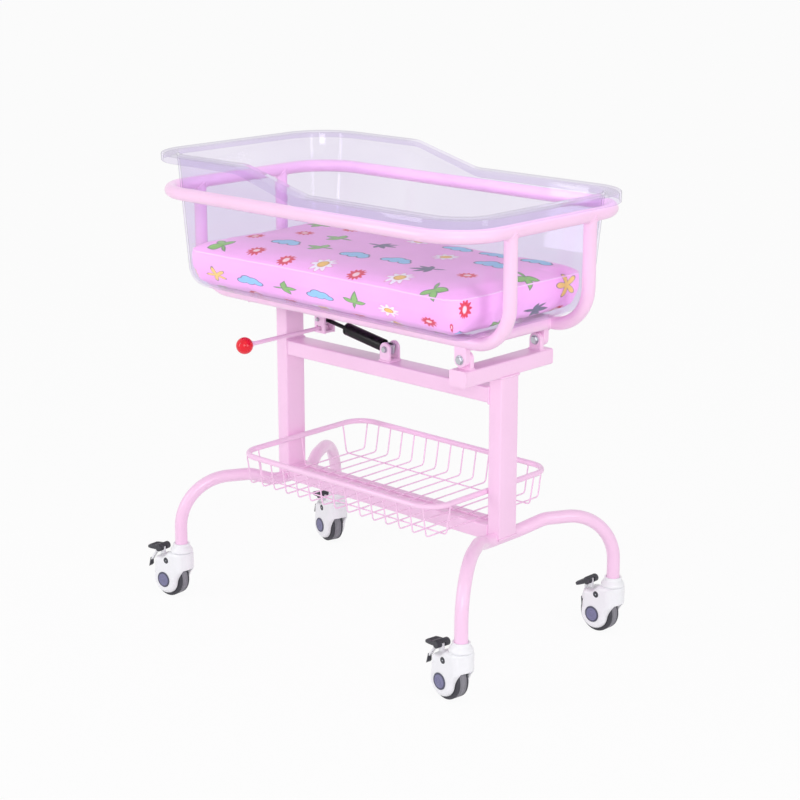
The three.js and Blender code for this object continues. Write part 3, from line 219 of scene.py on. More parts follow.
def sweep(name, line, radius, sides=TUBE_SIDES, loop_up=None):
    """A round bar along a line, or round a closed line when its upward direction is given."""
    closed = loop_up is not None
    count = len(line)
    radii = radius if isinstance(radius, list) else [radius] * count
    normal = loop_up if closed else (line[1] - line[0]).orthogonal()
    layers = []
    for i, point in enumerate(line):
        ahead = line[(i + 1) % count] if closed else line[min(i + 1, count - 1)]
        behind = line[i - 1] if closed or i else line[0]
        along = (ahead - behind).normalized()
        normal = loop_up if closed else normal
        normal = (normal - along * normal.dot(along)).normalized()
        across = along.cross(normal)
        turns = [2 * math.pi * j / sides for j in range(sides)]
        layers.append([point + (normal * math.cos(t) + across * math.sin(t)) * radii[i] for t in turns])
    return joined_layers(name, layers, closed)


centre_y = middle("post_head").y
for end in ("head", "foot"):
    halves = []
    for side, across in (("front", -1), ("back", 1)):
        stem = middle(f"castor_{end}_{side}_collar")
        level = Vector((middle(f"post_{end}").x, centre_y + across * LEG_LEVEL_HALF, LEG_LEVEL_Z))
        arm = Vector((stem.x, stem.y, LEG_ARM_Z))
        climbed = level.lerp(arm, LEG_CLIMB)
        climbed.z = LEG_ARM_Z
        halves.append([level, climbed, arm, Vector((stem.x, stem.y, LEG_END_Z))])
    front, back = halves
    kinks = [LEG_KINK_RADIUS] * 2
    line = bent_line([*reversed(front), *back], [LEG_DOWN_RADIUS, *kinks, *kinks, LEG_DOWN_RADIUS])
    fit(sweep(f"leg_{end}", line, TUBE_RADIUS), "base", pink_paint, f"leg_tube_{end}")

# Posts and beams: two posts of rectangular tube stand on the legs, with a lower and an upper beam between.
# Tube of 30 by 50 mm with rounded edges, under the same pink paint.
# Every joint is a fillet weld, ground a little and painted over.
POST_CORNER = 0.0035
POST_SINK = 0.0108
EDGE_STEPS = 4
WELD_RADIUS = 0.0022
WELD_STEP = 0.0016
WELD_RIPPLE = 0.16
WELD_TURN = 2.1
WELD_SIDES = 10
X_AXIS, Y_AXIS, Z_AXIS = Vector((1, 0, 0)), Vector((0, 1, 0)), Vector((0, 0, 1))


def rounded_ring(half_x, half_y, radius, steps):
    """A rounded rectangle about the origin, anticlockwise, as pairs."""
    ring = []
    for corner, (sign_x, sign_y) in enumerate(((1, 1), (-1, 1), (-1, -1), (1, -1))):
        for step in range(steps + 1):
            turn = (corner + step / steps) * math.pi / 2
            x = sign_x * (half_x - radius) + radius * math.cos(turn)
            y = sign_y * (half_y - radius) + radius * math.sin(turn)
            ring.append((x, y))
    return ring


def box_tube(name, low, high, axis, corner):
    """A rectangular bar along one axis, with rounded long edges and flat ends."""
    first, second = (axis + 1) % 3, (axis + 2) % 3
    half = (high - low) / 2
    layers = []
    for end in (low, high):
        layer = []
        for a, b in rounded_ring(half[first], half[second], corner, EDGE_STEPS):
            point = (low + high) / 2
            point[axis] = end[axis]
            point[first] += a
            point[second] += b
            layer.append(point)
        layers.append(layer)
    return joined_layers(name, layers)


def divided(corners, step):
    """A closed line with points no further apart than about a step."""
    line = []
    for here, there in zip(corners, corners[1:] + corners[:1]):
        count = max(1, round((there - here).length / step))
        line += [here.lerp(there, i / count) for i in range(count)]
    return line


def weld(name, corners, up, body):
    """A bead of weld round a closed line of corners, rippled under the paint."""
    line = divided(corners, WELD_STEP)
    radii = [WELD_RADIUS * (1 + WELD_RIPPLE * math.sin(i * WELD_TURN)) for i in range(len(line))]
    fit(sweep(name, line, radii, WELD_SIDES, up), body, pink_paint)


def rectangle(low, high, axis, level):
    """The corners of a rectangle square to an axis, at that level on it."""
    first, second = [i for i in range(3) if i != axis]
    corners = []
    for a, b in ((low, low), (high, low), (high, high), (low, high)):
        corner = Vector((level, level, level))
        corner[first] = a[first]
        corner[second] = b[second]
        corners.append(corner)
    return corners


for end in ("head", "foot"):
    low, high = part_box(f"post_{end}")
    low.z -= POST_SINK
    fit(box_tube(f"post_tube_{end}", low, high, 2, POST_CORNER), "base", pink_paint, f"post_{end}")
    weld(f"post_weld_{end}", rectangle(low, high, 2, low.z), Z_AXIS, "base")
for level in ("lower", "upper"):
    low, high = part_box(f"{level}_beam")
    fit(box_tube(f"{level}_beam_tube", low, high, 0, POST_CORNER), "base", pink_paint, f"{level}_beam")
    for end, x in (("head", low.x), ("foot", high.x)):
        weld(f"{level}_beam_weld_{end}", rectangle(low, high, 0, x), X_AXIS, "base")

# Castor collars: a white cap over the end of each leg, which holds the castor's stem.
# Moulded nylon with a thin lip round the tube.
# It is driven into the leg and doesn't turn.
TURN_STEPS = 64
FILLET_STEP = math.radians(18)
COLLAR_BOTTOM = 0.0993
COLLAR_TOP = 0.117
COLLAR_SEAT = 0.1115
COLLAR_FILLET = 0.0009
COLLAR_SOCKET = 0.0128
WHITE = (247, 247, 251)
WHITE_ROUGHNESS = 0.3
WHITE_DRIFT = 0.012
WHITE_DRIFT_SIZE = 0.03
MOULD_GRAIN = 0.000012
MOULD_GRAIN_SIZE = 0.0009
CASTORS = ("head_front", "foot_front", "foot_back", "head_back")

white_plastic = finish("white_plastic", WHITE, WHITE_ROUGHNESS, WHITE_DRIFT, WHITE_DRIFT_SIZE, MOULD_GRAIN,
                       MOULD_GRAIN_SIZE)


def lathe(name, profile, fillet=0.0, ring=False):
    """A turned solid about Z from (radius, height) corners, rounded to a fillet. A ring's profile is closed."""
    corners = [Vector((radius, 0, height)) for radius, height in profile]
    if fillet:
        corners = bent_line(corners, [fillet] * (len(corners) - 2), FILLET_STEP)
    layers = []
    for corner in corners:
        turns = [2 * math.pi * step / TURN_STEPS for step in range(TURN_STEPS)]
        layers.append([Vector((corner.x * math.cos(t), corner.x * math.sin(t), corner.z)) for t in turns])
    return joined_layers(name, layers, ring)


def copies(piece, name, matrix):
    """The same mesh again as a piece of its own, in another place."""
    twin = bpy.data.objects.new(name, piece.data)
    bpy.context.scene.collection.objects.link(twin)
    twin.matrix_world = matrix
    return twin


castor_places = {}
for castor in CASTORS:
    stem = middle(f"castor_{castor}_collar")
    axis = joints[f"castor_{castor}_spin"]["axis"]
    swivel = math.atan2(-axis[0], axis[1])
    castor_places[castor] = Matrix.Translation((stem.x, stem.y, 0)) @ Matrix.Rotation(swivel, 4, "Z")

collar_pattern = lathe("collar_pattern", [
    (0.021, COLLAR_BOTTOM),
    (0.0225, COLLAR_BOTTOM),
    (0.0225, COLLAR_BOTTOM + 0.0042),
    (0.0195, COLLAR_BOTTOM + 0.009),
    (0.0168, COLLAR_BOTTOM + 0.0122),
    (0.0166, COLLAR_TOP),
    (COLLAR_SOCKET, COLLAR_TOP),
    (COLLAR_SOCKET, COLLAR_SEAT),
    (0.002, COLLAR_SEAT),
], COLLAR_FILLET)
for castor in CASTORS:
    collar = copies(collar_pattern, f"collar_{castor}", castor_places[castor])
    fit(collar, "base", white_plastic, f"castor_{castor}_collar")
bpy.data.objects.remove(collar_pattern)

# Castor housings: two domed covers and the neck under the stem, in one white moulding over the wheel.
# Glossy nylon, open at the front under the neck, with a dark plug on each side over the cross screw.
# It swivels on the stem and carries the axle and the brake pedal's lug.
WHEEL_RADIUS = 0.0375
WHEEL_TRAIL = 0.03
HOUSING_TOP = 0.0983
HOUSING_HALF = 0.0245
COVER_RADIUS = 0.0305
COVER_BACK = math.radians(162)
COVER_FRONT = math.radians(355)
COVER_ARC_STEPS = 40
COVER_TIP = Vector((0.017, 0.062))
COVER_SWEEP = Vector((0.003, 0.047))
SHOULDER = [(-0.02, HOUSING_TOP), (-0.036, 0.083), (-0.0565, 0.083)]
COVER_POINT_STEP = 0.0015
COVER_SMOOTHING = 12
COVER_DOME = [(1.0, 0.0095), (0.975, 0.006), (0.92, 0.0034), (0.84, 0.0015), (0.72, 0.0004), (0.5, 0.0)]
COVER_PLAN = 0.0246
COVER_PLAN_BACK = 0.001
NECK_RADIUS = 0.023
NECK_FRONT_Z = 0.064
NECK_EDGE = 0.0025
HOUSING_VOXEL = 0.0011
HOUSING_SMOOTHING = 7
SLOT_RADIUS = 0.0405
SLOT_HALF = 0.0145
FRONT_OPENING = [(-0.03, 0.02), (0.04, 0.02), (0.04, 0.064), (0.002, 0.0622)]
PEDAL_PIVOT = Vector((-0.0535, 0, 0.097))
LUG_RADIUS = 0.005
LUG_HALF = 0.004
LUG_ROOT = 0.079
LUG_EDGE = 0.0005
EYE_STEPS = 24
PLUG_PLACE = (-0.022, 0.0, 0.08)
PLUG_RADIUS = 0.0064
PLUG_END = 0.0249
SCREW_RADIUS = 0.0013
DARK = (56, 56, 64)
ZINC = (190, 192, 199)


def cover_outline():
    """The covers in side view, from the front of the neck round the wheel and back to the front."""
    corners = [(COVER_TIP.x, HOUSING_TOP), *SHOULDER]
    for i in range(COVER_ARC_STEPS + 1):
        turn = COVER_BACK + (COVER_FRONT - COVER_BACK) * i / COVER_ARC_STEPS
        corners.append((COVER_RADIUS * math.cos(turn) - WHEEL_TRAIL, COVER_RADIUS * math.sin(turn) + WHEEL_RADIUS))
    corners = [Vector(corner) for corner in corners]
    start = corners[-1]
    for i in range(1, COVER_ARC_STEPS + 1):
        share = i / COVER_ARC_STEPS
        corners.append(start.lerp(COVER_SWEEP, share).lerp(COVER_SWEEP.lerp(COVER_TIP, share), share))
    line = divided(corners, COVER_POINT_STEP)
    for _ in range(COVER_SMOOTHING):
        line = [(line[i - 1] + 2 * line[i] + line[(i + 1) % len(line)]) / 4 for i in range(len(line))]
    return line


def inset(line, distance):
    """A closed anticlockwise outline drawn in by a distance."""
    moved = []
    for i, point in enumerate(line):
        along = (line[(i + 1) % len(line)] - line[i - 1]).normalized()
        moved.append(point + Vector((-along.y, along.x)) * distance)
    return moved


def side_plate(name, line, low_y, high_y, edge):
    """A plate across Y from an anticlockwise outline in side view, with its edges eased."""
    layers = []
    for y, drawn in ((high_y, edge), (high_y - edge, 0), (low_y + edge, 0), (low_y, edge)):
        layers.append([Vector((p.x, y, p.y)) for p in inset(line, drawn)])
    return joined_layers(name, layers)


def eye_plate(name, pivot, radius, square_end, low_y, high_y, edge):
    """A plate across Y with a round end about a pivot in side view and a square end at a level."""
    up = 1 if square_end < pivot.z else -1
    line = [Vector((pivot.x - up * radius, square_end)), Vector((pivot.x + up * radius, square_end))]
    for step in range(EYE_STEPS + 1):
        turn = math.pi * step / EYE_STEPS
        line.append(Vector((pivot.x, pivot.z)) + up * radius * Vector((math.cos(turn), math.sin(turn))))
    return side_plate(name, line, low_y, high_y, edge)


def apply_modifiers(piece):
    """Makes the piece's modifiers part of its mesh."""
    graph = bpy.context.evaluated_depsgraph_get()
    mesh = bpy.data.meshes.new_from_object(piece.evaluated_get(graph))
    piece.modifiers.clear()
    piece.data = mesh


def gathered(name, pieces):
    """Several solids as one piece."""
    mesh = bmesh.new()
    for piece in pieces:
        mesh.from_mesh(piece.data)
        bpy.data.objects.remove(piece)
    data = bpy.data.meshes.new(name)
    mesh.to_mesh(data)
    mesh.free()
    data.shade_smooth()
    data.set_sharp_from_angle(angle=math.radians(40))
    whole = bpy.data.objects.new(name, data)
    bpy.context.scene.collection.objects.link(whole)
    return whole


def moulded(name, solids, voxel, smoothing):
    """Overlapping solids as one moulding, with its creases rounded."""
    piece = gathered(name, solids)
    remesh = piece.modifiers.new("one_skin", "REMESH")
    remesh.mode = "VOXEL"
    remesh.voxel_size = voxel
    soften = piece.modifiers.new("soften", "SMOOTH")
    soften.factor = 0.5
    soften.iterations = smoothing
    apply_modifiers(piece)
    return piece


def cut_away(piece, tool):
    """Cuts a tool's shape out of a piece and removes the tool."""
    cut = piece.modifiers.new("cut", "BOOLEAN")
    cut.operation = "DIFFERENCE"
    cut.object = tool
    cut.solver = "EXACT"
    apply_modifiers(piece)
    bpy.data.objects.remove(tool)
    piece.data.shade_smooth()
    piece.data.set_sharp_from_angle(angle=math.radians(45))


outline = cover_outline()
layers = []
for share, drawn in COVER_DOME + [(-share, drawn) for share, drawn in reversed(COVER_DOME)]:
    y = share * HOUSING_HALF
    front = math.sqrt(COVER_PLAN ** 2 - y ** 2) - COVER_PLAN_BACK
    layers.append([Vector((min(p.x, front), y, p.y)) for p in inset(outline, drawn)])
covers = joined_layers("covers", layers)

neck_rise = (NECK_FRONT_Z - COVER_TIP.y) / (NECK_RADIUS - COVER_TIP.x)
neck_layers = []
for radius, height in ((NECK_RADIUS, None), (NECK_RADIUS, HOUSING_TOP - NECK_EDGE),
                       (NECK_RADIUS - NECK_EDGE, HOUSING_TOP)):
    layer = []
    for step in range(TURN_STEPS):
        turn = 2 * math.pi * step / TURN_STEPS
        x, y = radius * math.cos(turn), radius * math.sin(turn)
        low_z = COVER_TIP.y + neck_rise * max(0, x - COVER_TIP.x)
        layer.append(Vector((x, y, low_z if height is None else height)))
    neck_layers.append(layer)
neck = joined_layers("neck", neck_layers)
lug = eye_plate("lug", PEDAL_PIVOT, LUG_RADIUS, LUG_ROOT, -LUG_HALF, LUG_HALF, LUG_EDGE)

housing_pattern = moulded("housing_pattern", [covers, neck, lug], HOUSING_VOXEL, HOUSING_SMOOTHING)
upright = Matrix.Rotation(math.pi / 2, 4, "X")
slot_tool = lathe("slot_tool", [(SLOT_RADIUS, -SLOT_HALF), (SLOT_RADIUS, SLOT_HALF)])
slot_tool.data.transform(Matrix.Translation((-WHEEL_TRAIL, 0, WHEEL_RADIUS)) @ upright)
cut_away(housing_pattern, slot_tool)
front_tool = side_plate("front_tool", [Vector(corner) for corner in FRONT_OPENING], -SLOT_HALF, SLOT_HALF, 0.0)
cut_away(housing_pattern, front_tool)

dark_plastic = finish("dark_plastic", DARK, 0.42, 0.05, 0.012, 0.00002, 0.0007)
zinc = finish("zinc", ZINC, 0.32, 0.07, 0.006, 0.00001, 0.0004)
zinc.node_tree.nodes["Principled BSDF"].inputs["Metallic"].default_value = 1.0
plug_pattern = lathe("plug_pattern", [(0.001, -PLUG_END), (PLUG_RADIUS, -PLUG_END), (PLUG_RADIUS, PLUG_END),
                                      (0.001, PLUG_END)], 0.0006)
screw_end = PLUG_END + 0.0006
screw_pattern = lathe("screw_pattern", [(0.001, -screw_end), (SCREW_RADIUS, -screw_end), (SCREW_RADIUS, screw_end),
                                        (0.001, screw_end)], 0.0005)
for castor in CASTORS:
    body = f"castor_{castor}_swivel"
    housing = copies(housing_pattern, f"housing_{castor}", castor_places[castor])
    fit(housing, body, white_plastic, f"castor_{castor}_housing")
    place = castor_places[castor] @ Matrix.Translation(PLUG_PLACE) @ upright
    fit(copies(plug_pattern, f"cover_plugs_{castor}", place), body, dark_plastic)
    fit(copies(screw_pattern, f"cover_screws_{castor}", place), body, zinc)
for pattern in (housing_pattern, plug_pattern, screw_pattern):
    bpy.data.objects.remove(pattern)

# Castor wheels: a grey rubber tyre on a white hub, on an axle whose caps close the covers.
# The tread is a paler band between dark shoulders, with two shallow grooves.
# The caps are blue-grey discs with turned rings and a darker rim.
TYRE_HALF = 0.013
TYRE_INNER = 0.025
TREAD_ROUND = 0.0025
TREAD_BAND = 0.0072
GROOVE_Y = 0.0042
GROOVE_HALF = 0.0006
GROOVE_DEPTH = 0.0009
TREAD_GREY = (138, 136, 144)
SHOULDER_GREY = (62, 61, 69)
CAP_BLUE = (122, 120, 157)
CAP_RIM_BLUE = (76, 76, 98)
CAP_RADIUS = 0.016
CAP_SEAT = 0.0248
CAP_END = 0.0263
ZONE_BLUR = 0.0005


def maths(tree, operation, *values):
    """One sum on sockets or numbers."""
    node = tree.nodes.new("ShaderNodeMath")
    node.operation = operation
    for socket, value in zip(node.inputs, values):
        if isinstance(value, (int, float)):
            socket.default_value = value
        else:
            tree.links.new(value, socket)
    return node.outputs["Value"]


def reach_of(tree, first, second):
    """The distance from the middle for two places across it."""
    return maths(tree, "SQRT", maths(tree, "MULTIPLY_ADD", first, first, maths(tree, "MULTIPLY", second, second)))


def places(tree):
    """The three places of a point on its own piece, in metres."""
    split = tree.nodes.new("ShaderNodeSeparateXYZ")
    tree.links.new(tree.nodes.new("ShaderNodeTexCoord").outputs["Object"], split.inputs["Vector"])
    return split.outputs


def zoned(material, distance, edge, colour):
    """Gives a finish another colour past an edge in metres."""
    tree = material.node_tree
    socket = tree.nodes["Principled BSDF"].inputs["Base Color"]
    past = spread(tree, distance, 0, 1, edge - ZONE_BLUR, edge + ZONE_BLUR)
    tree.links.new(mixed(tree, past, socket.links[0].from_socket, linear(*colour)), socket)


tyre_rubber = finish("tyre_rubber", TREAD_GREY, 0.62, 0.06, 0.01, 0.00006, 0.0012)
tree = tyre_rubber.node_tree
zoned(tyre_rubber, maths(tree, "ABSOLUTE", places(tree)["Y"]), TREAD_BAND, SHOULDER_GREY)
blue_grey_plastic = finish("blue_grey_plastic", CAP_BLUE, 0.4, 0.05, 0.01, 0.00002, 0.0008)
tree = blue_grey_plastic.node_tree
zoned(blue_grey_plastic, reach_of(tree, places(tree)["X"], places(tree)["Z"]), CAP_RADIUS - 0.0034, CAP_RIM_BLUE)

shoulder = TYRE_HALF - TREAD_ROUND
tyre_side = [(TYRE_INNER, -TYRE_HALF)]
for step in range(6):
    turn = math.pi / 2 * step / 6
    tyre_side.append((WHEEL_RADIUS - TREAD_ROUND * (1 - math.sin(turn)), -shoulder - TREAD_ROUND * math.cos(turn)))
tread = [(WHEEL_RADIUS, -shoulder)]
for groove in (-GROOVE_Y, GROOVE_Y):
    for offset, depth in ((-2, 0), (-1, GROOVE_DEPTH), (1, GROOVE_DEPTH), (2, 0)):
        tread.append((WHEEL_RADIUS - depth, groove + offset * GROOVE_HALF))
tread.append((WHEEL_RADIUS, shoulder))
tyre_far = [(radius, -height) for radius, height in reversed(tyre_side)]
tyre_pattern = lathe("tyre_pattern", tyre_side + tread + tyre_far, ring=True)
hub_side = [(0.0045, -0.011), (0.01, -0.011), (0.012, -0.006), (0.019, -0.006), (0.0205, -0.011), (0.0247, -0.011)]
hub_far = [(radius, -height) for radius, height in reversed(hub_side)]
hub_pattern = lathe("hub_pattern", hub_side + hub_far, ring=True)
cap_side = [(CAP_RADIUS - inward, CAP_END - sunk) for inward, sunk in (
    (0.0105, 0.0003), (0.0098, 0.0007), (0.0092, 0.0002), (0.0042, 0), (0.0034, 0.0005), (0.0026, 0),
    (0.0006, 0.0002), (0, 0.0008))]
cap_side += [(CAP_RADIUS, CAP_SEAT), (0.004, CAP_SEAT)]
cap_pattern = lathe("cap_pattern", [(r, -y) for r, y in cap_side] + list(reversed(cap_side)))
for pattern in (tyre_pattern, hub_pattern, cap_pattern):
    pattern.data.transform(upright)
for castor in CASTORS:
    place = castor_places[castor] @ Matrix.Translation((-WHEEL_TRAIL, 0, WHEEL_RADIUS))
    wheel = f"castor_{castor}_wheel"
    fit(copies(tyre_pattern, f"tyre_{castor}", place), wheel, tyre_rubber, f"castor_{castor}_tyre")
    fit(copies(hub_pattern, f"hub_{castor}", place), wheel, white_plastic, f"castor_{castor}_hub")
    caps = copies(cap_pattern, f"axle_caps_{castor}", place)
    fit(caps, f"castor_{castor}_swivel", blue_grey_plastic, f"castor_{castor}_axle")
for pattern in (tyre_pattern, hub_pattern, cap_pattern):
    bpy.data.objects.remove(pattern)

# Brake pedals: a toe on the back of each castor, on a drum that turns over the housing's lug.
# Dark grey nylon with grip ribs, on a slanted white arm that carries a dark brake block.
# Pressed down, the block meets the tread; three stand up and the back foot one is down.
TOE_LAYERS = [(-0.031, 0.0122, 0.0022), (-0.0296, 0.0138, 0.0033), (-0.024, 0.0145, 0.004),
              (-0.014, 0.0147, 0.0045), (-0.0056, 0.0147, 0.0048)]
DRUM_RADIUS = 0.0072
DRUM_HALF = 0.0155
DRUM_ROOM = 0.0006
ROOM_RISE = 0.0016
TOE_RIBS = [(-0.0275, 0.0034), (-0.0235, 0.0038), (-0.0195, 0.0041), (-0.0155, 0.0043)]
RIB_TURNS = [math.radians(turn) for turn in (40, 65, 90, 115)]
RIB_HALF = 0.0105
RIB_RADIUS = 0.0009
ARM_LINE = [(-0.0125, -0.0015), (-0.0345, -0.0275), (-0.0365, -0.0325), (-0.0335, -0.0315), (-0.0095, -0.0035)]
ARM_HALF = 0.0036
BLOCK_LINE = [(-0.0346, -0.0268), (-0.0362, -0.0272), (-0.0434, -0.0468), (-0.0364, -0.0422)]
BLOCK_HALF = 0.0046
BLOCK_EDGE = 0.0008
PEDAL_RELEASED = math.radians(-5)
PEDAL_LOCKED = math.radians(-26)

toe_layers = []
for x, half_y, half_z in TOE_LAYERS:
    toe_layers.append([Vector((x, y, z)) for y, z in rounded_ring(half_y, half_z, 0.8 * half_z, EDGE_STEPS)])
toe = joined_layers("toe", toe_layers)
drum = lathe("drum", [(0.002, -DRUM_HALF), (DRUM_RADIUS, -DRUM_HALF), (DRUM_RADIUS, DRUM_HALF), (0.002, DRUM_HALF)],
             0.0012)
drum.data.transform(upright)
room = LUG_RADIUS + DRUM_ROOM
room_line = [Vector((2 * DRUM_RADIUS, -2 * DRUM_RADIUS)), Vector((2 * DRUM_RADIUS, ROOM_RISE))]
room_start = math.asin(ROOM_RISE / room)
for step in range(EYE_STEPS + 1):
    turn = room_start + (math.pi - 2 * room_start) * step / EYE_STEPS
    room_line.append(room * Vector((math.cos(turn), math.sin(turn))))
room_line += [Vector((-2 * DRUM_RADIUS, ROOM_RISE)), Vector((-2 * DRUM_RADIUS, -2 * DRUM_RADIUS))]
for piece in (toe, drum):
    cut_away(piece, side_plate("room", room_line, -LUG_HALF - DRUM_ROOM, LUG_HALF + DRUM_ROOM, 0.0))
rib_places = [(x, z, RIB_HALF) for x, z in TOE_RIBS]
rib_places += [(DRUM_RADIUS * math.cos(turn), DRUM_RADIUS * math.sin(turn), DRUM_HALF - 0.0015) for turn in RIB_TURNS]
ribs = []
for x, z, half in rib_places:
    ribs.append(sweep("rib", [Vector((x, -half, z)), Vector((x, half, z))], RIB_RADIUS, 12))
pedal_pattern = gathered("pedal_pattern", [toe, drum, *ribs])
arm_pattern = side_plate("arm_pattern", [Vector(corner) for corner in ARM_LINE], -ARM_HALF, ARM_HALF, 0.0005)
block_pattern = side_plate("block_pattern", [Vector(corner) for corner in BLOCK_LINE], -BLOCK_HALF, BLOCK_HALF,
                           BLOCK_EDGE)
for castor in CASTORS:
    locked = joints[f"castor_{castor}_brake"]["range_deg"][1] > 0
    lean = Matrix.Rotation(PEDAL_LOCKED if locked else PEDAL_RELEASED, 4, "Y")
    place = castor_places[castor] @ Matrix.Translation(PEDAL_PIVOT) @ lean
    body = f"castor_{castor}_pedal"
    fit(copies(pedal_pattern, f"pedal_{castor}", place), body, dark_plastic, f"castor_{castor}_pedal")
    fit(copies(arm_pattern, f"brake_arm_{castor}", place), body, white_plastic)
    fit(copies(block_pattern, f"brake_block_{castor}", place), body, dark_plastic)
for pattern in (pedal_pattern, arm_pattern, block_pattern):
    bpy.data.objects.remove(pattern)

# Wire basket: a rim of bent rod with cross wires and long wires hung from it, resting on the lower beam.
# Mild steel wire, spot welded at the crossings and dipped in the same pink.
# It lifts no load from the legs: the floor wires lie on the beam and are welded to it.
RIM_RADIUS = 0.0055
RIM_CORNER = 0.045
RIM_LENGTH = 0.514
RIM_WIDTH = 0.342
RIM_STEPS = 14
BASKET_FLOOR_WIDTH = 0.322
BASKET_FLOOR_LENGTH = 0.494
WIRE_RADIUS = 0.0014
WIRE_SIDES = 10
WIRE_BEND = 0.008
WIRE_STEP = math.radians(15)
WIRE_LIFT = 0.0006
WIRE_OVERLAP = 0.0005
CROSS_WIRES = 15
CROSS_PITCH = 0.0335
LONG_WIRES = 3
LONG_PITCH = 0.12

rim_middle = middle("basket_rim")
rim_line = []
for x, y in rounded_ring(RIM_LENGTH / 2, RIM_WIDTH / 2, RIM_CORNER, RIM_STEPS):
    rim_line.append(rim_middle + Vector((x, y, 0)))
fit(sweep("basket_rim_rod", rim_line, RIM_RADIUS, TUBE_SIDES, Z_AXIS), "base", pink_paint, "basket_rim")

wire_top = rim_middle.z - RIM_RADIUS / 2
long_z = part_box("lower_beam")[1].z + WIRE_RADIUS + WIRE_LIFT
cross_z = long_z + 2 * WIRE_RADIUS - WIRE_OVERLAP
wires = []
for count, pitch, along, top, floor, z in (
        (CROSS_WIRES, CROSS_PITCH, 1, RIM_WIDTH, BASKET_FLOOR_WIDTH, cross_z),
        (LONG_WIRES, LONG_PITCH, 0, RIM_LENGTH, BASKET_FLOOR_LENGTH, long_z)):
    for i in range(count):
        corners = []
        for run, level in ((-top, wire_top), (-floor, z), (floor, z), (top, wire_top)):
            corner = Vector((rim_middle.x, rim_middle.y, level))
            corner[along] += run / 2
            corner[1 - along] += (i - (count - 1) / 2) * pitch
            corners.append(corner)
        wires.append(sweep("wire", bent_line(corners, [WIRE_BEND] * 2, WIRE_STEP), WIRE_RADIUS, WIRE_SIDES))
fit(gathered("basket_wire_floor", wires), "base", pink_paint, "basket_wires")

# Hinge at the foot end: a crossbar on the foot post carries two ears, and the cradle's lugs turn on their bolts.
# Rectangular tube of 40 by 30 mm with welded end caps, ears cut from 10 mm plate, all painted pink.
# The bolts are zinc plated, with washers, hexagon heads and locking nuts.
CROSSBAR_CORNER = 0.004
EAR_RADIUS = 0.0135
EAR_EDGE = 0.0009
HINGE_HEAD = 0.0067
HINGE_WASHER = 0.009
BOLT_SEAT = 0.005
HEAD_HEIGHT = 0.003
WASHER_HEIGHT = 0.0013
HEAD_LAYERS = [(1.0, 0.0), (1.0, 0.72), (0.88, 1.0)]

low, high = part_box("hinge_crossbar")
crossbar_top = high.z
fit(box_tube("crossbar_tube", low, high, 1, CROSSBAR_CORNER), "base", pink_paint, "hinge_crossbar")
for side in ("front", "back"):
    low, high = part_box(f"crossbar_cap_{side}")
    cap = box_tube(f"crossbar_end_{side}", low, high, 1, CROSSBAR_CORNER)
    fit(cap, "base", pink_paint, f"crossbar_cap_{side}")
low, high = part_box("post_foot")
weld("crossbar_weld", rectangle(low, high, 2, high.z), Z_AXIS, "base")


def bolt(name, node, body, head, washer):
    """A bolt along Y in place of its node, with a hexagon head and a nut of one size, each on its washer."""
    low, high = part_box(node)
    seat = (high.y - low.y) / 2 - BOLT_SEAT
    shank = 0.6 * head
    parts = [lathe("shank", [(shank / 4, -seat), (shank, -seat), (shank, seat + BOLT_SEAT), (shank / 4, seat + BOLT_SEAT)])]
    for flip in (Matrix.Identity(4), Matrix.Rotation(math.pi, 4, "X")):
        ring = lathe("washer", [(shank, 0), (washer, 0), (washer, WASHER_HEIGHT), (shank, WASHER_HEIGHT)], 0.0004)
        layers = []
        for share, height in HEAD_LAYERS:
            reach = share * head / math.cos(math.pi / 6)
            turns = [math.pi / 3 * step for step in range(6)]
            z = WASHER_HEIGHT + HEAD_HEIGHT * height
            layers.append([Vector((reach * math.cos(turn), reach * math.sin(turn), z)) for turn in turns])
        for part in (ring, joined_layers("head", layers)):
            part.data.transform(flip @ Matrix.Translation((0, 0, seat)))
            parts.append(part)
    piece = gathered(name, parts)
    piece.data.transform(Matrix.Translation((low + high) / 2) @ Matrix.Rotation(-math.pi / 2, 4, "X"))
    fit(piece, body, zinc, node)


hinge = Vector(joints["cradle_tilt"]["pos_m"])
for side in ("front", "back"):
    low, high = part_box(f"hinge_ear_{side}")
    ear = eye_plate(f"ear_{side}", hinge, EAR_RADIUS, crossbar_top, low.y, high.y, EAR_EDGE)
    fit(ear, "base", pink_paint, f"hinge_ear_{side}")
    foot_low = Vector((hinge.x - EAR_RADIUS, low.y, 0))
    foot_high = Vector((hinge.x + EAR_RADIUS, high.y, 0))
    weld(f"ear_weld_{side}", rectangle(foot_low, foot_high, 2, crossbar_top), Z_AXIS, "base")
    bolt(f"hinge_bolt_set_{side}", f"hinge_bolt_{side}", "base", HINGE_HEAD, HINGE_WASHER)

# Head stop: a rubber pad on a plate closes the head post, and the level cradle rests on it.
# Black rubber, moulded with a soft edge and bonded to the plate.
# The plate is pressed into the top of the post.
BUFFER_RADIUS = 0.011
BUFFER_PLATE = 0.003
BUFFER_GREY = (44, 44, 50)

buffer_rubber = finish("buffer_rubber", BUFFER_GREY, 0.6, 0.06, 0.01, 0.00005, 0.001)
low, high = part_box("stop_buffer")
plate = box_tube("plate", low, Vector((high.x, high.y, low.z + BUFFER_PLATE)), 2, POST_CORNER)
pad_foot = low.z + BUFFER_PLATE / 2
pad = lathe("pad", [(0.002, pad_foot), (BUFFER_RADIUS, pad_foot), (BUFFER_RADIUS, high.z), (0.002, high.z)], 0.0012)
pad.data.transform(Matrix.Translation(((low.x + high.x) / 2, (low.y + high.y) / 2, 0)))
fit(gathered("head_stop", [plate, pad]), "base", buffer_rubber, "stop_buffer")

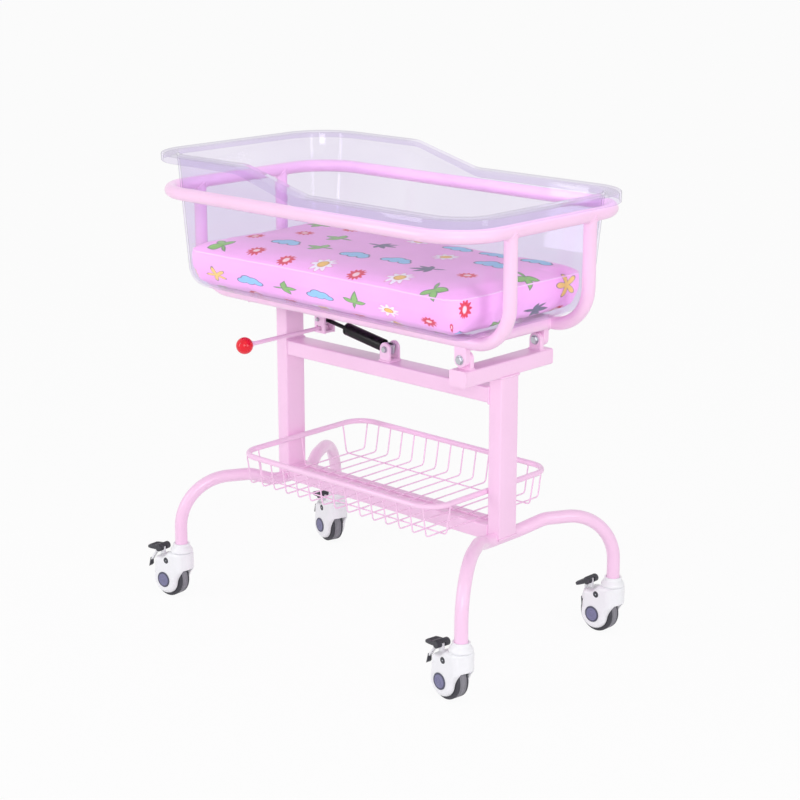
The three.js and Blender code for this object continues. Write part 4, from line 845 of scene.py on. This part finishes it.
# Gas spring: its cylinder swings in a clevis on the upper beam, and its rod in the release bracket.
# Steel tube in satin black with a rolled front end, a black rod, and eyes of bright zinc.
# The clevis is two pink ears on a foot plate; a bolt goes through each eye.
CLEVIS_EAR = 0.005
CLEVIS_FLOOR = 0.004
CLEVIS_SET = Vector((0.0003, 0.0003, 0.0))
CLEVIS_HEAD = 0.0054
CLEVIS_WASHER = 0.0066
SPRING_RADIUS = 0.0125
SPRING_START = 0.016
SPRING_END = 0.118
SPRING_NECK = 0.007
SPRING_MOUTH = 0.0065
SPRING_EYE = 0.01
EYE_BORE = 0.0054
EYE_HALF = 0.009
ROD_RADIUS = 0.004
ROD_LENGTH = 0.156
ROD_EYE = 0.009
BLACK = (15, 14, 18)

clevis_pivot = Vector(joints["gas_cylinder_swing"]["pos_m"])
release_pivot = Vector(joints["gas_rod_swing"]["pos_m"])
low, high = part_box("gas_spring_clevis")
clevis = [box_tube("foot", low + CLEVIS_SET, Vector((high.x, high.y, low.z + CLEVIS_FLOOR)) - CLEVIS_SET, 1, 0.0006)]
for ear_low, ear_high in ((low.y, low.y + CLEVIS_EAR), (high.y - CLEVIS_EAR, high.y)):
    clevis.append(eye_plate("ear", clevis_pivot, EAR_RADIUS, low.z, ear_low, ear_high, EAR_EDGE))
fit(gathered("spring_clevis", clevis), "base", pink_paint, "gas_spring_clevis")
weld("clevis_weld", rectangle(low, high, 2, low.z), Z_AXIS, "base")
bolt("clevis_bolt_set", "clevis_bolt", "base", CLEVIS_HEAD, CLEVIS_WASHER)

black_paint = finish("black_paint", BLACK, 0.3, 0.08, 0.02, 0.000015, 0.0012)
black_paint.node_tree.nodes["Principled BSDF"].inputs["Specular IOR Level"].default_value = 0.25
leant = (release_pivot - clevis_pivot).to_track_quat("Z", "Y").to_matrix().to_4x4()
rolled = SPRING_RADIUS - 0.0008
tube = lathe("spring_cylinder", [
    (0.003, SPRING_EYE / 2), (SPRING_NECK, SPRING_EYE / 2), (SPRING_NECK, SPRING_START),
    (SPRING_RADIUS, SPRING_START), (SPRING_RADIUS, SPRING_END - 0.009), (rolled, SPRING_END - 0.008),
    (rolled, SPRING_END - 0.006), (SPRING_RADIUS, SPRING_END - 0.005), (SPRING_RADIUS, SPRING_END - 0.001),
    (SPRING_RADIUS - 0.002, SPRING_END), (SPRING_MOUTH, SPRING_END), (SPRING_MOUTH, SPRING_END - 0.006),
    (0.001, SPRING_END - 0.006),
], 0.0004)
shaft = lathe("spring_rod", [(0.001, -ROD_LENGTH), (ROD_RADIUS, -ROD_LENGTH), (ROD_RADIUS, -ROD_EYE / 2),
                             (0.001, -ROD_EYE / 2)], 0.0006)
for piece, pivot, body, node, radius in (
        (tube, clevis_pivot, "gas_cylinder", "gas_spring_cylinder", SPRING_EYE),
        (shaft, release_pivot, "gas_rod", "gas_spring_rod", ROD_EYE)):
    piece.data.transform(Matrix.Translation(pivot) @ leant)
    fit(piece, body, black_paint, node)
    eye = lathe(f"{body}_eye", [(EYE_BORE, -EYE_HALF), (radius, -EYE_HALF), (radius, EYE_HALF), (EYE_BORE, EYE_HALF)],
                ring=True)
    eye.data.transform(Matrix.Translation(pivot) @ leant @ upright)
    fit(eye, body, zinc)

# Cradle: a ring round the basin on two rails that run under it, with three cross tubes between the rails.
# The same 25 mm tube and pink paint as the legs, bent to a generous corner.
# The rails' ends are coped and welded under the ring, and the hinge lugs under the rails.
RING_LENGTH = 0.805
RING_WIDTH = 0.474
RING_CORNER = 0.095
RING_STEPS = 20
RAIL_BEND = 0.078
SADDLE_STEPS = 48

ring_middle = middle("frame_ring")
ring_line = []
for x, y in rounded_ring(RING_LENGTH / 2, RING_WIDTH / 2, RING_CORNER, RING_STEPS):
    ring_line.append(ring_middle + Vector((x, y, 0)))
fit(sweep("cradle_ring", ring_line, TUBE_RADIUS, TUBE_SIDES, Z_AXIS), "cradle", pink_paint, "frame_ring")


def saddle(place, stem, across, sign):
    """Where a tube along the stem axis meets a tube of its own size that runs along the across axis."""
    third = stem.cross(across)
    line = []
    for step in range(SADDLE_STEPS):
        turn = 2 * math.pi * step / SADDLE_STEPS
        drop = abs(TUBE_RADIUS * math.cos(turn))
        out = across * math.cos(turn) + third * math.sin(turn)
        line.append(place + out * TUBE_RADIUS + stem * sign * drop)
    return line


rail_z = middle("cross_tube_foot").z
rail_ends = (ring_middle.x - RING_LENGTH / 2, ring_middle.x + RING_LENGTH / 2)
for side, sign in (("front", 1), ("back", -1)):
    y = middle(f"cradle_rail_{side}").y
    corners = []
    for x, z in zip((*rail_ends[:1] * 2, *rail_ends[1:] * 2), (ring_middle.z, rail_z, rail_z, ring_middle.z)):
        corners.append(Vector((x, y, z)))
    rail = sweep(f"rail_{side}", bent_line(corners, [RAIL_BEND] * 2), TUBE_RADIUS)
    fit(rail, "cradle", pink_paint, f"cradle_rail_{side}")
    for end, x in zip(("head", "foot"), rail_ends):
        line = saddle(Vector((x, y, ring_middle.z)), Z_AXIS, Y_AXIS, -1)
        weld(f"rail_weld_{side}_{end}", line, Z_AXIS, "cradle")
    for cross in ("head", "release", "foot"):
        line = saddle(Vector((middle(f"cross_tube_{cross}").x, y, rail_z)), Y_AXIS, X_AXIS, sign)
        weld(f"cross_weld_{side}_{cross}", line, Y_AXIS, "cradle")
    low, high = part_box(f"hinge_lug_{side}")
    lug = eye_plate(f"lug_{side}", hinge, EAR_RADIUS, rail_z - TUBE_RADIUS / 2, low.y, high.y, EAR_EDGE)
    fit(lug, "cradle", pink_paint, f"hinge_lug_{side}")
for cross in ("head", "release", "foot"):
    x = middle(f"cross_tube_{cross}").x
    ends = [Vector((x, middle(f"cradle_rail_{side}").y, rail_z)) for side in ("front", "back")]
    fit(sweep(f"cross_bar_{cross}", ends, TUBE_RADIUS), "cradle", pink_paint, f"cross_tube_{cross}")

# Release: a channel bracket under the cradle holds the spring's rod end and the lever that opens its valve.
# The bracket and the lever are painted steel; the ball on the lever's end is red and polished.
# The lever turns on a zinc pin, and the ball is screwed on over a short neck.
BRACKET_WALL = 0.005
BRACKET_EDGE = 0.001
BRACKET_SET = 0.0003
BRACKET_HEAD = 0.0034
BRACKET_WASHER = 0.0042
WINDOW_HALF = Vector((0.0068, 0.01, 0.0054))
WINDOW_SET = Vector((0.0009, 0.0, 0.0))
LEVER_RADIUS = 0.004
LEVER_EYE = 0.007
LEVER_EYE_HALF = 0.004
PIN_RADIUS = 0.003
PIN_HEAD = 0.005
PIN_HEAD_HEIGHT = 0.002
KNOB_RADIUS = 0.0165
KNOB_STEPS = 48
KNOB_NECK = 0.0062
KNOB_NECK_LENGTH = 0.007
KNOB_NECK_SINK = 0.0022
KNOB_RED = (238, 14, 42)

low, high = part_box("release_bracket")
lever_pivot = Vector(joints["release_lever_push"]["pos_m"])
front_wall = box_tube("front_wall", low, Vector((high.x, low.y + BRACKET_WALL, high.z)), 2, BRACKET_EDGE)
window = Vector((lever_pivot.x, low.y, lever_pivot.z)) + WINDOW_SET
cut_away(front_wall, box_tube("window", window - WINDOW_HALF, window + WINDOW_HALF, 1, BRACKET_EDGE))
back_wall = box_tube("back_wall", Vector((low.x, high.y - BRACKET_WALL, low.z)), high, 2, BRACKET_EDGE)
tucked = Vector((BRACKET_SET, BRACKET_SET, BRACKET_SET))
floor_low, roof_high = low + tucked, high - tucked
roof = box_tube("roof", Vector((floor_low.x, floor_low.y, high.z - BRACKET_WALL)), roof_high, 1, BRACKET_EDGE)
sill = box_tube("sill", floor_low, Vector((roof_high.x, roof_high.y, low.z + BRACKET_WALL)), 1, BRACKET_EDGE)
fit(gathered("release_channel", [front_wall, back_wall, roof, sill]), "cradle", pink_paint, "release_bracket")
bolt("bracket_bolt_set", "bracket_bolt", "cradle", BRACKET_HEAD, BRACKET_WASHER)
low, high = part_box("lever_pin")
head_z = low.z + PIN_HEAD_HEIGHT
pin = lathe("lever_pivot_pin", [(0.0008, low.z), (PIN_HEAD, low.z), (PIN_HEAD, head_z), (PIN_RADIUS, head_z),
                                (PIN_RADIUS, high.z), (0.0008, high.z)], 0.0004)
pin.data.transform(Matrix.Translation((lever_pivot.x, lever_pivot.y, 0)))
fit(pin, "cradle", zinc, "lever_pin")

knob_middle = middle("ball_knob")
bore = PIN_RADIUS + 0.0004
lever_eye = lathe("lever_eye", [(bore, -LEVER_EYE_HALF), (LEVER_EYE, -LEVER_EYE_HALF), (LEVER_EYE, LEVER_EYE_HALF),
                                (bore, LEVER_EYE_HALF)], ring=True)
lever_eye.data.transform(Matrix.Translation(lever_pivot))
knob_neck = lathe("knob_neck", [(LEVER_RADIUS, 0), (KNOB_NECK, 0), (KNOB_NECK - 0.0007, KNOB_NECK_LENGTH),
                                (LEVER_RADIUS, KNOB_NECK_LENGTH)], 0.0006)
neck_place = knob_middle + Y_AXIS * (KNOB_RADIUS - KNOB_NECK_SINK)
knob_neck.data.transform(Matrix.Translation(neck_place) @ Matrix.Rotation(-math.pi / 2, 4, "X"))
lever_ends = [lever_pivot - Y_AXIS * LEVER_EYE * 0.6, Vector((lever_pivot.x, neck_place.y, lever_pivot.z))]
lever = gathered("lever", [sweep("lever_rod", lever_ends, LEVER_RADIUS), lever_eye, knob_neck])
fit(lever, "release_lever", pink_paint, "release_lever")

red_plastic = finish("red_plastic", KNOB_RED, 0.12, 0.05, 0.01, 0.000006, 0.004)
lacquer(red_plastic, 0.35, 0.04)
red_plastic.node_tree.nodes["Principled BSDF"].inputs["Specular IOR Level"].default_value = 0.25
ball_profile = []
for step in range(1, KNOB_STEPS):
    turn = math.pi * step / KNOB_STEPS
    ball_profile.append((KNOB_RADIUS * math.sin(turn), -KNOB_RADIUS * math.cos(turn)))
ball = lathe("ball", ball_profile)
ball.data.transform(Matrix.Translation(knob_middle) @ upright)
fit(ball, "release_lever", red_plastic, "ball_knob")

# Basin: a clear tub whose walls open out to a flat rim with a turned-down lip, raised at the head end.
# Vacuum-formed clear sheet of 4 mm with a faint violet cast; where the sheet is seen edge-on, a darker grey is
# painted on as shade along its edges.
# Its rim rests on the cradle's ring, and it lifts out by hand.
BASIN_WALL = 0.004
BASIN_FLOOR = (0.743, 0.399, 0.05)
BASIN_MOUTH = (0.776, 0.436, 0.07)
BASIN_RIM = (0.84, 0.5, 0.105)
BASIN_FLOOR_EDGE = 0.047
BASIN_RISE = 0.04
BASIN_FOOT_RIM = 0.871
RAMP_FOOT = 0.015
RAMP_HEAD = -0.143
RAMP_EASE = 0.01
MOUTH_FILLET = 0.0028
RIM_FILLET = 0.002
LIP_LIFT = 0.0003
LIP_EDGE = 0.0006
FILLET_ROWS = 4
FLOOR_EDGE_ROWS = 18
BASIN_CORNER_STEPS = 16
BASIN_SIDE_STEPS = 72
BASIN_WALL_ROWS = 6
LIP_RISES = 1.12
SHEET_PALE = (241, 236, 248)
SHEET_DEEP = (237, 231, 245)
# Painted shade: the darker grey the sheet is given where it is seen edge-on.
SHEET_EDGE_SHADE = (138, 134, 154)

basin_floor_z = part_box("basin")[0].z


def rim_rise(x):
    """How far the rim is raised at a distance along the basin: a ramp with eased ends."""
    climb = 0
    for start, sign in ((RAMP_FOOT, 1), (RAMP_HEAD, -1)):
        run = start - x
        eased = (run + RAMP_EASE) ** 2 / (4 * RAMP_EASE) if abs(run) < RAMP_EASE else max(0, run)
        climb += sign * eased
    return climb * BASIN_RISE / (RAMP_FOOT - RAMP_HEAD)


def basin_ring(size, drawn, z, rises=1):
    """A ring of the basin, drawn in from an outline, which follows the rim's ramp unless it is level."""
    length, width, corner = size
    half_x, half_y, radius = length / 2 - drawn, width / 2 - drawn, corner - drawn
    pairs = rounded_ring(half_x, half_y, radius, BASIN_CORNER_STEPS)
    per_corner = BASIN_CORNER_STEPS + 1
    run = half_x - radius
    long_side = [run - 2 * run * step / BASIN_SIDE_STEPS for step in range(1, BASIN_SIDE_STEPS)]
    pairs[per_corner:per_corner] = [(x, half_y) for x in long_side]
    later = 3 * per_corner + len(long_side)
    pairs[later:later] = [(-x, -half_y) for x in long_side]
    return [Vector((ring_middle.x + x, ring_middle.y + y, z + rises * rim_rise(x))) for x, y in pairs]


def rounding(size, drawn, z, radius, turned_out):
    """Rings up a rounded edge that starts at a level: outward over the mouth, or inward over the rim."""
    rings = []
    for step in range(FILLET_ROWS + 1):
        turn = math.pi / 2 * step / FILLET_ROWS
        move = radius * (1 - math.cos(turn))
        rings.append(basin_ring(size, drawn - move if turned_out else drawn + move, z + radius * math.sin(turn)))
    return rings


def tub(drawn, rim_z):
    """The rings of one face of the tub, from the floor's edge up and over the mouth."""
    edge = BASIN_FLOOR_EDGE - drawn
    rings = []
    for step in range(FLOOR_EDGE_ROWS + 1):
        turn = math.pi / 2 * step / FLOOR_EDGE_ROWS
        z = basin_floor_z + drawn + edge * (1 - math.cos(turn))
        rings.append(basin_ring(BASIN_FLOOR, drawn + edge * (1 - math.sin(turn)), z, 0))
    mouth = rounding(BASIN_MOUTH, drawn, rim_z - MOUTH_FILLET, MOUTH_FILLET, True)
    wall_foot = rings[-1]
    for row in range(1, BASIN_WALL_ROWS):
        rings.append([a.lerp(b, row / BASIN_WALL_ROWS) for a, b in zip(wall_foot, mouth[0])])
    return rings + mouth


lip_z = ring_middle.z + TUBE_RADIUS + LIP_LIFT
under_rim = BASIN_FOOT_RIM - BASIN_WALL
lip = [(BASIN_WALL, lip_z + LIP_EDGE), (BASIN_WALL - LIP_EDGE, lip_z), (LIP_EDGE, lip_z), (0.0, lip_z + LIP_EDGE)]
rings = tub(0.0, under_rim)
rings += [basin_ring(BASIN_RIM, BASIN_WALL + 0.002, under_rim), basin_ring(BASIN_RIM, BASIN_WALL, under_rim - 0.002)]
rings += [basin_ring(BASIN_RIM, drawn, z, LIP_RISES) for drawn, z in lip]
rings += rounding(BASIN_RIM, 0.0, BASIN_FOOT_RIM - RIM_FILLET, RIM_FILLET, False)
rings += reversed(tub(BASIN_WALL, BASIN_FOOT_RIM))
basin = joined_layers("clear_basin", rings)
basin.visible_shadow = False

clear_plastic = bpy.data.materials.new("clear_plastic")
clear_plastic.use_nodes = True
tree = clear_plastic.node_tree
shader = tree.nodes["Principled BSDF"]
shader.inputs["Transmission Weight"].default_value = 1.0
shader.inputs["IOR"].default_value = 1.004
shader.inputs["Coat IOR"].default_value = 1.5
lacquer(clear_plastic, 0.5, 0.03)
sheet = mixed(tree, spread(tree, noise_of(tree, 0.2), 0, 1), linear(*SHEET_DEEP), linear(*SHEET_PALE))
# Painted shade: where the sheet is seen edge-on, above the floor's rounded edge, its colour is mixed toward a darker
# grey.
slant = tree.nodes.new("ShaderNodeLayerWeight")
slant.inputs["Blend"].default_value = 0.5
along_sheet = spread(tree, slant.outputs["Facing"], 0, 1, 0.78, 0.97)
above_floor = spread(tree, places(tree)["Z"], 0, 1, basin_floor_z + 0.6 * BASIN_FLOOR_EDGE,
                     basin_floor_z + BASIN_FLOOR_EDGE)
painted_edge_shade = maths(tree, "MULTIPLY", along_sheet, above_floor)
tree.links.new(mixed(tree, painted_edge_shade, sheet, linear(*SHEET_EDGE_SHADE)), shader.inputs["Base Color"])
tree.links.new(spread(tree, noise_of(tree, 0.004, 3.0), 0.005, 0.02), shader.inputs["Roughness"])
relief(tree, shader, noise_of(tree, 0.12, 1.0), 0.00003)
fit(basin, "basin", clear_plastic, "basin")

# Mattress: a foam pad in a printed cotton cover, crowned on top, with a piped seam round its top edge.
# Pink cloth with a scatter of simple blossoms, sprigs, clouds and stars, and a fine weave.
# It lies loose on the basin's floor, against the head end.
PAD_LET_OUT = Vector((0.013, -0.003, -0.003))
PAD_VOXEL = 0.005
PAD_PRESSURE = 4.0
PAD_FRAMES = 20
PAD_CAP = 0.006
PAD_FLOOR_GAP = 0.0004
PAD_WALL_GAP = 0.001
PAD_RUCK = 0.0011
PAD_RUCK_SIZE = 0.055
SEAM_HEIGHT = 0.078
SEAM_CORNER = 0.036
SEAM_STEP = 0.008
SEAM_RADIUS = 0.0014
PRINT_CELL = 0.094
PRINT_SCALE = 1.45
PRINT_SHIFT = Vector((0.37, 0.13))
PRINT_ROUND = 0.035
PRINT_UNDER = 0.02
PRINT_BLUR = 0.01
PRINT_LINE = 0.018
CLOTH_PINK = (252, 186, 239)
SEAM_PINK = (252, 214, 243)
INK = (84, 84, 108)

pad_low, pad_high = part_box("mattress")
pad_middle = (pad_low + pad_high) / 2
half = (pad_high - pad_low) / 2 + Vector((PAD_LET_OUT.x, 0, 0))
pad = bpy.data.objects.new("mattress_pad", frame["nodes"]["mattress"].data.copy())
bpy.context.scene.collection.objects.link(pad)
one_skin = bmesh.new()
one_skin.from_mesh(pad.data)
bmesh.ops.remove_doubles(one_skin, verts=one_skin.verts, dist=0.00002)
bmesh.ops.recalc_face_normals(one_skin, faces=one_skin.faces)
one_skin.to_mesh(pad.data)
one_skin.free()
for vert in pad.data.vertices:
    away = vert.co - pad_middle
    vert.co += Vector([away[i] * PAD_LET_OUT[i] / half[i] for i in range(3)])
even = pad.modifiers.new("even_mesh", "REMESH")
even.mode = "VOXEL"
even.voxel_size = PAD_VOXEL
apply_modifiers(pad)
start = [vert.co.copy() for vert in pad.data.vertices]
cloth = pad.modifiers.new("stuffing", "CLOTH")
cloth.settings.use_pressure = True
cloth.settings.uniform_pressure_force = PAD_PRESSURE
cloth.settings.effector_weights.gravity = 0
cloth.settings.quality = 5
for number in range(1, PAD_FRAMES + 1):
    bpy.context.scene.frame_set(number)
apply_modifiers(pad)
bpy.context.scene.frame_set(1)


def within_basin(place):
    """A place drawn back inside the basin's wall and above its floor."""
    edge = BASIN_FLOOR_EDGE - BASIN_WALL
    above = max(place.z, basin_floor_z + BASIN_WALL + PAD_FLOOR_GAP)
    under = max(0, edge - (above - basin_floor_z - BASIN_WALL))
    drawn = BASIN_WALL + PAD_WALL_GAP + edge - math.sqrt(edge ** 2 - under ** 2)
    length, width, radius = BASIN_FLOOR
    radius = max(0.001, radius - drawn)
    core_x, core_y = length / 2 - drawn - radius, width / 2 - drawn - radius
    across = place - ring_middle
    core = Vector((max(-core_x, min(core_x, across.x)), max(-core_y, min(core_y, across.y)), 0))
    away = Vector((across.x, across.y, 0)) - core
    if away.length > radius:
        away *= radius / away.length
    held = ring_middle + core + away
    held.z = above
    return held


for vert, before in zip(pad.data.vertices, start):
    move = vert.co - before
    if move.length > PAD_CAP:
        vert.co = before + move.normalized() * PAD_CAP
    edge = max(abs(vert.co.x - pad_middle.x) / half.x, abs(vert.co.y - pad_middle.y) / half.y)
    if vert.co.z > pad_middle.z:
        vert.co.z += noise.noise(vert.co / PAD_RUCK_SIZE) * PAD_RUCK * (0.5 + edge)
    vert.co = within_basin(vert.co)
pad.modifiers.new("finer", "SUBSURF").levels = 1
apply_modifiers(pad)
pad.data.shade_smooth()

unrolled = pad.data.uv_layers.new(name="print")
inner_x, inner_y = half.x - PRINT_ROUND, half.y - PRINT_ROUND
for loop in pad.data.loops:
    place = pad.data.vertices[loop.vertex_index].co - pad_middle
    nearest = Vector((max(-inner_x, min(inner_x, place.x)), max(-inner_y, min(inner_y, place.y))))
    away = Vector((place.x, place.y)) - nearest
    drop = max(0.0, pad_low.z + SEAM_HEIGHT - pad_middle.z - place.z)
    under = max(0.0, PRINT_ROUND - away.length) * max(0.0, min(1.0, -place.z / PRINT_UNDER))
    nearest += away + away.normalized() * (drop + 2 * under)
    unrolled.data[loop.index].uv = nearest / PRINT_CELL + PRINT_SHIFT

mattress_cloth = finish("mattress_cloth", CLOTH_PINK, 0.72, 0.03, 0.05, 0.00004, 0.0012)
tree = mattress_cloth.node_tree
shader = tree.nodes["Principled BSDF"]
shader.inputs["Sheen Weight"].default_value = 0.2
shader.inputs["Sheen Roughness"].default_value = 0.5
uv = tree.nodes.new("ShaderNodeUVMap")
uv.uv_map = "print"
split = tree.nodes.new("ShaderNodeSeparateXYZ")
tree.links.new(uv.outputs["UV"], split.inputs["Vector"])
row = maths(tree, "FLOOR", split.outputs["Y"])
row_chance = tree.nodes.new("ShaderNodeTexWhiteNoise")
row_chance.noise_dimensions = "1D"
tree.links.new(row, row_chance.inputs["W"])
along = maths(tree, "ADD", split.outputs["X"], row_chance.outputs["Value"])
cell = tree.nodes.new("ShaderNodeCombineXYZ")
tree.links.new(maths(tree, "FLOOR", along), cell.inputs["X"])
tree.links.new(row, cell.inputs["Y"])
chance = tree.nodes.new("ShaderNodeTexWhiteNoise")
chance.noise_dimensions = "2D"
tree.links.new(cell.outputs["Vector"], chance.inputs["Vector"])
chances = tree.nodes.new("ShaderNodeSeparateColor")
tree.links.new(chance.outputs["Color"], chances.inputs["Color"])
kind = chance.outputs["Value"]
flat = []
for place, luck in ((along, "Red"), (split.outputs["Y"], "Green")):
    shift = maths(tree, "MULTIPLY_ADD", chances.outputs[luck], 0.2, 0.4)
    off = maths(tree, "SUBTRACT", maths(tree, "FRACT", place), shift)
    flat.append(maths(tree, "DIVIDE", off, PRINT_SCALE))
spin = maths(tree, "MULTIPLY", chances.outputs["Blue"], 2 * math.pi)
reach = reach_of(tree, *flat)
angle = maths(tree, "ADD", maths(tree, "ARCTAN2", flat[1], flat[0]), spin)


def inside(distance, edge):
    """One where a distance is short of an edge, and nothing past it."""
    return spread(tree, distance, 1, 0, edge - PRINT_BLUR, edge + PRINT_BLUR)


def circle(x, y, radius):
    """How far a point lies outside a round spot."""
    off = [maths(tree, "SUBTRACT", place, middle) for place, middle in zip(flat, (x, y))]
    return maths(tree, "SUBTRACT", reach_of(tree, *off), radius)


def petals(count, radius, depth):
    """How far a point lies outside a flower of round petals."""
    wave = maths(tree, "COSINE", maths(tree, "MULTIPLY", angle, count))
    return maths(tree, "SUBTRACT", reach, maths(tree, "MULTIPLY_ADD", wave, radius * depth, radius * (1 - depth)))


def leaf(turn, length, width):
    """How far a point lies outside a pointed leaf that grows from the motif's foot at an angle."""
    off = maths(tree, "SUBTRACT", angle, turn)
    share = maths(tree, "DIVIDE", maths(tree, "MULTIPLY", reach, maths(tree, "COSINE", off)), length)
    across = maths(tree, "ABSOLUTE", maths(tree, "MULTIPLY", reach, maths(tree, "SINE", off)))
    bulge = maths(tree, "MULTIPLY", share, maths(tree, "SUBTRACT", 1.0, share))
    return maths(tree, "SUBTRACT", across, maths(tree, "MULTIPLY", bulge, 4 * width))


def joint_shape(shapes):
    """How far a point lies outside several shapes together."""
    whole = shapes[0]
    for shape in shapes[1:]:
        whole = maths(tree, "MINIMUM", whole, shape)
    return whole


cloud = joint_shape([circle(-0.15, -0.03, 0.09), circle(-0.05, 0.05, 0.11), circle(0.08, 0.03, 0.1),
                     circle(0.17, -0.04, 0.08), circle(0.0, -0.05, 0.08)])
stem = leaf(math.pi, 0.16, 0.012)
sprig = [leaf(turn, length, 0.05) for turn, length in ((0.0, 0.27), (1.1, 0.22), (-1.1, 0.22))]
frond = ((0.0, 0.28), (0.65, 0.24), (-0.65, 0.24), (1.3, 0.18), (-1.3, 0.18))
fern = [leaf(turn, length, 0.026) for turn, length in frond]
motifs = [
    (petals(9, 0.2, 0.2), 0.0, 0.2, (253, 249, 252), (236, 150, 196)),
    (circle(0.0, 0.0, 0.07), 0.0, 0.2, (246, 206, 96), (214, 150, 60)),
    (petals(12, 0.15, 0.16), 0.2, 0.4, (222, 44, 72), None),
    (circle(0.0, 0.0, 0.05), 0.2, 0.4, (252, 222, 222), None),
    (joint_shape([*sprig, stem]), 0.4, 0.56, (140, 200, 104), (86, 128, 84)),
    (cloud, 0.56, 0.72, (146, 212, 242), INK),
    (petals(5, 0.2, 0.38), 0.72, 0.84, (246, 214, 110), INK),
    (joint_shape([*fern, stem]), 0.84, 0.95, (96, 104, 122), INK),
]
colour = shader.inputs["Base Color"].links[0].from_socket
for shape, first, last, tone, line in motifs:
    here = maths(tree, "MULTIPLY", maths(tree, "GREATER_THAN", kind, first), maths(tree, "LESS_THAN", kind, last))
    for tint, edge in ((line, PRINT_LINE), (tone, 0)):
        if tint:
            mask = maths(tree, "MULTIPLY", inside(shape, edge), here)
            colour = mixed(tree, mask, colour, linear(*tint))
tree.links.new(colour, shader.inputs["Base Color"])
fit(pad, "mattress", mattress_cloth, "mattress")

skin = BVHTree.FromPolygons([vert.co for vert in pad.data.vertices], [face.vertices for face in pad.data.polygons])
seam_ring = []
for x, y in rounded_ring(half.x, half.y, SEAM_CORNER, RIM_STEPS):
    seam_ring.append(Vector((pad_middle.x + x, pad_middle.y + y, pad_low.z + SEAM_HEIGHT)))
seam_line = [skin.find_nearest(point)[0] for point in divided(seam_ring, SEAM_STEP)]
piping = finish("piping", SEAM_PINK, 0.7, 0.03, 0.03, 0.00004, 0.001)
seam = sweep("mattress_piping", seam_line, SEAM_RADIUS, WIRE_SIDES, Z_AXIS)
seam.data.materials.append(piping)
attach(seam, "mattress")

# Studio: a plain white floor under a white sky, with a soft light in front and a tall strip light on each side.
# The floor shows white to the camera, and keeps the bassinet's soft shadow.
# The camera stands at the photograph's place.
FLOOR_HALF = 30.0
FLOOR_WHITE = 0.9
FLOOR_SHOWS = 0.93
SKY_HORIZON = 0.86
SKY_ZENITH = 0.4
CAMERA_PLACE = (2.4765, -2.5913, 1.4299)
CAMERA_AZIMUTH = math.radians(43.09)
CAMERA_ELEVATION = math.radians(15.48)
CAMERA_LENS = 85.66
CAMERA_SENSOR = 36.0
LIGHTS = [
    ("left_strip", (-1.6, -2.6, 1.5), 0.6, 2.0, 19),
    ("right_strip", (3.2, -0.2, 1.5), 0.6, 2.0, 13),
    ("front_softbox", (3.1, -3.3, 1.9), 1.8, 1.4, 50),
]


def seen_directly(tree):
    """One for the camera, for what reflects and for what shows through."""
    path = tree.nodes.new("ShaderNodeLightPath")
    first = maths(tree, "MAXIMUM", path.outputs["Is Camera Ray"], path.outputs["Is Glossy Ray"])
    return maths(tree, "MAXIMUM", first, path.outputs["Is Transmission Ray"])


floor_corners = [(-FLOOR_HALF, -FLOOR_HALF, 0), (FLOOR_HALF, -FLOOR_HALF, 0), (FLOOR_HALF, FLOOR_HALF, 0),
                 (-FLOOR_HALF, FLOOR_HALF, 0)]
floor = shaped("floor", floor_corners, [(0, 1, 2, 3)])
floor_white = bpy.data.materials.new("floor_white")
floor_white.use_nodes = True
tree = floor_white.node_tree
shader = tree.nodes["Principled BSDF"]
shader.inputs["Base Color"].default_value = (FLOOR_WHITE, FLOOR_WHITE, FLOOR_WHITE, 1)
shader.inputs["Roughness"].default_value = 1.0
shader.inputs["Specular IOR Level"].default_value = 0.0
glow = tree.nodes.new("ShaderNodeEmission")
blend = tree.nodes.new("ShaderNodeMixShader")
tree.links.new(maths(tree, "MULTIPLY", seen_directly(tree), FLOOR_SHOWS), blend.inputs["Fac"])
tree.links.new(shader.outputs["BSDF"], blend.inputs[1])
tree.links.new(glow.outputs["Emission"], blend.inputs[2])
tree.links.new(blend.outputs["Shader"], tree.nodes["Material Output"].inputs["Surface"])
floor.data.materials.append(floor_white)

world = bpy.data.worlds.new("white_sky")
bpy.context.scene.world = world
world.use_nodes = True
tree = world.node_tree
sky = tree.nodes["Background"]
sky.inputs["Color"].default_value = (1, 1, 1, 1)
split = tree.nodes.new("ShaderNodeSeparateXYZ")
tree.links.new(tree.nodes.new("ShaderNodeTexCoord").outputs["Generated"], split.inputs["Vector"])
lit = spread(tree, split.outputs["Z"], SKY_HORIZON, SKY_ZENITH, 0, 1)
shows = maths(tree, "MULTIPLY_ADD", seen_directly(tree), maths(tree, "SUBTRACT", 1.0, lit), lit)
tree.links.new(shows, sky.inputs["Strength"])

target = (cad_box[0] + cad_box[1]) / 2
for name, place, wide, tall, power in LIGHTS:
    lamp = bpy.data.lights.new(name, "AREA")
    lamp.shape = "RECTANGLE"
    lamp.size = wide
    lamp.size_y = tall
    lamp.energy = power
    holder = bpy.data.objects.new(name, lamp)
    bpy.context.scene.collection.objects.link(holder)
    holder.location = place
    holder.rotation_mode = "QUATERNION"
    holder.rotation_quaternion = (target - Vector(place)).to_track_quat("-Z", "Y")

lens = bpy.data.cameras.new("camera")
lens.lens = CAMERA_LENS
lens.sensor_width = CAMERA_SENSOR
lens.clip_end = 100
camera = bpy.data.objects.new("camera", lens)
bpy.context.scene.collection.objects.link(camera)
camera.location = CAMERA_PLACE
level = math.cos(CAMERA_ELEVATION)
ahead = Vector((-math.sin(CAMERA_AZIMUTH) * level, math.cos(CAMERA_AZIMUTH) * level, -math.sin(CAMERA_ELEVATION)))
camera.rotation_mode = "QUATERNION"
camera.rotation_quaternion = ahead.to_track_quat("-Z", "Y")
bpy.context.scene.camera = camera
bpy.context.scene.view_settings.view_transform = "Standard"
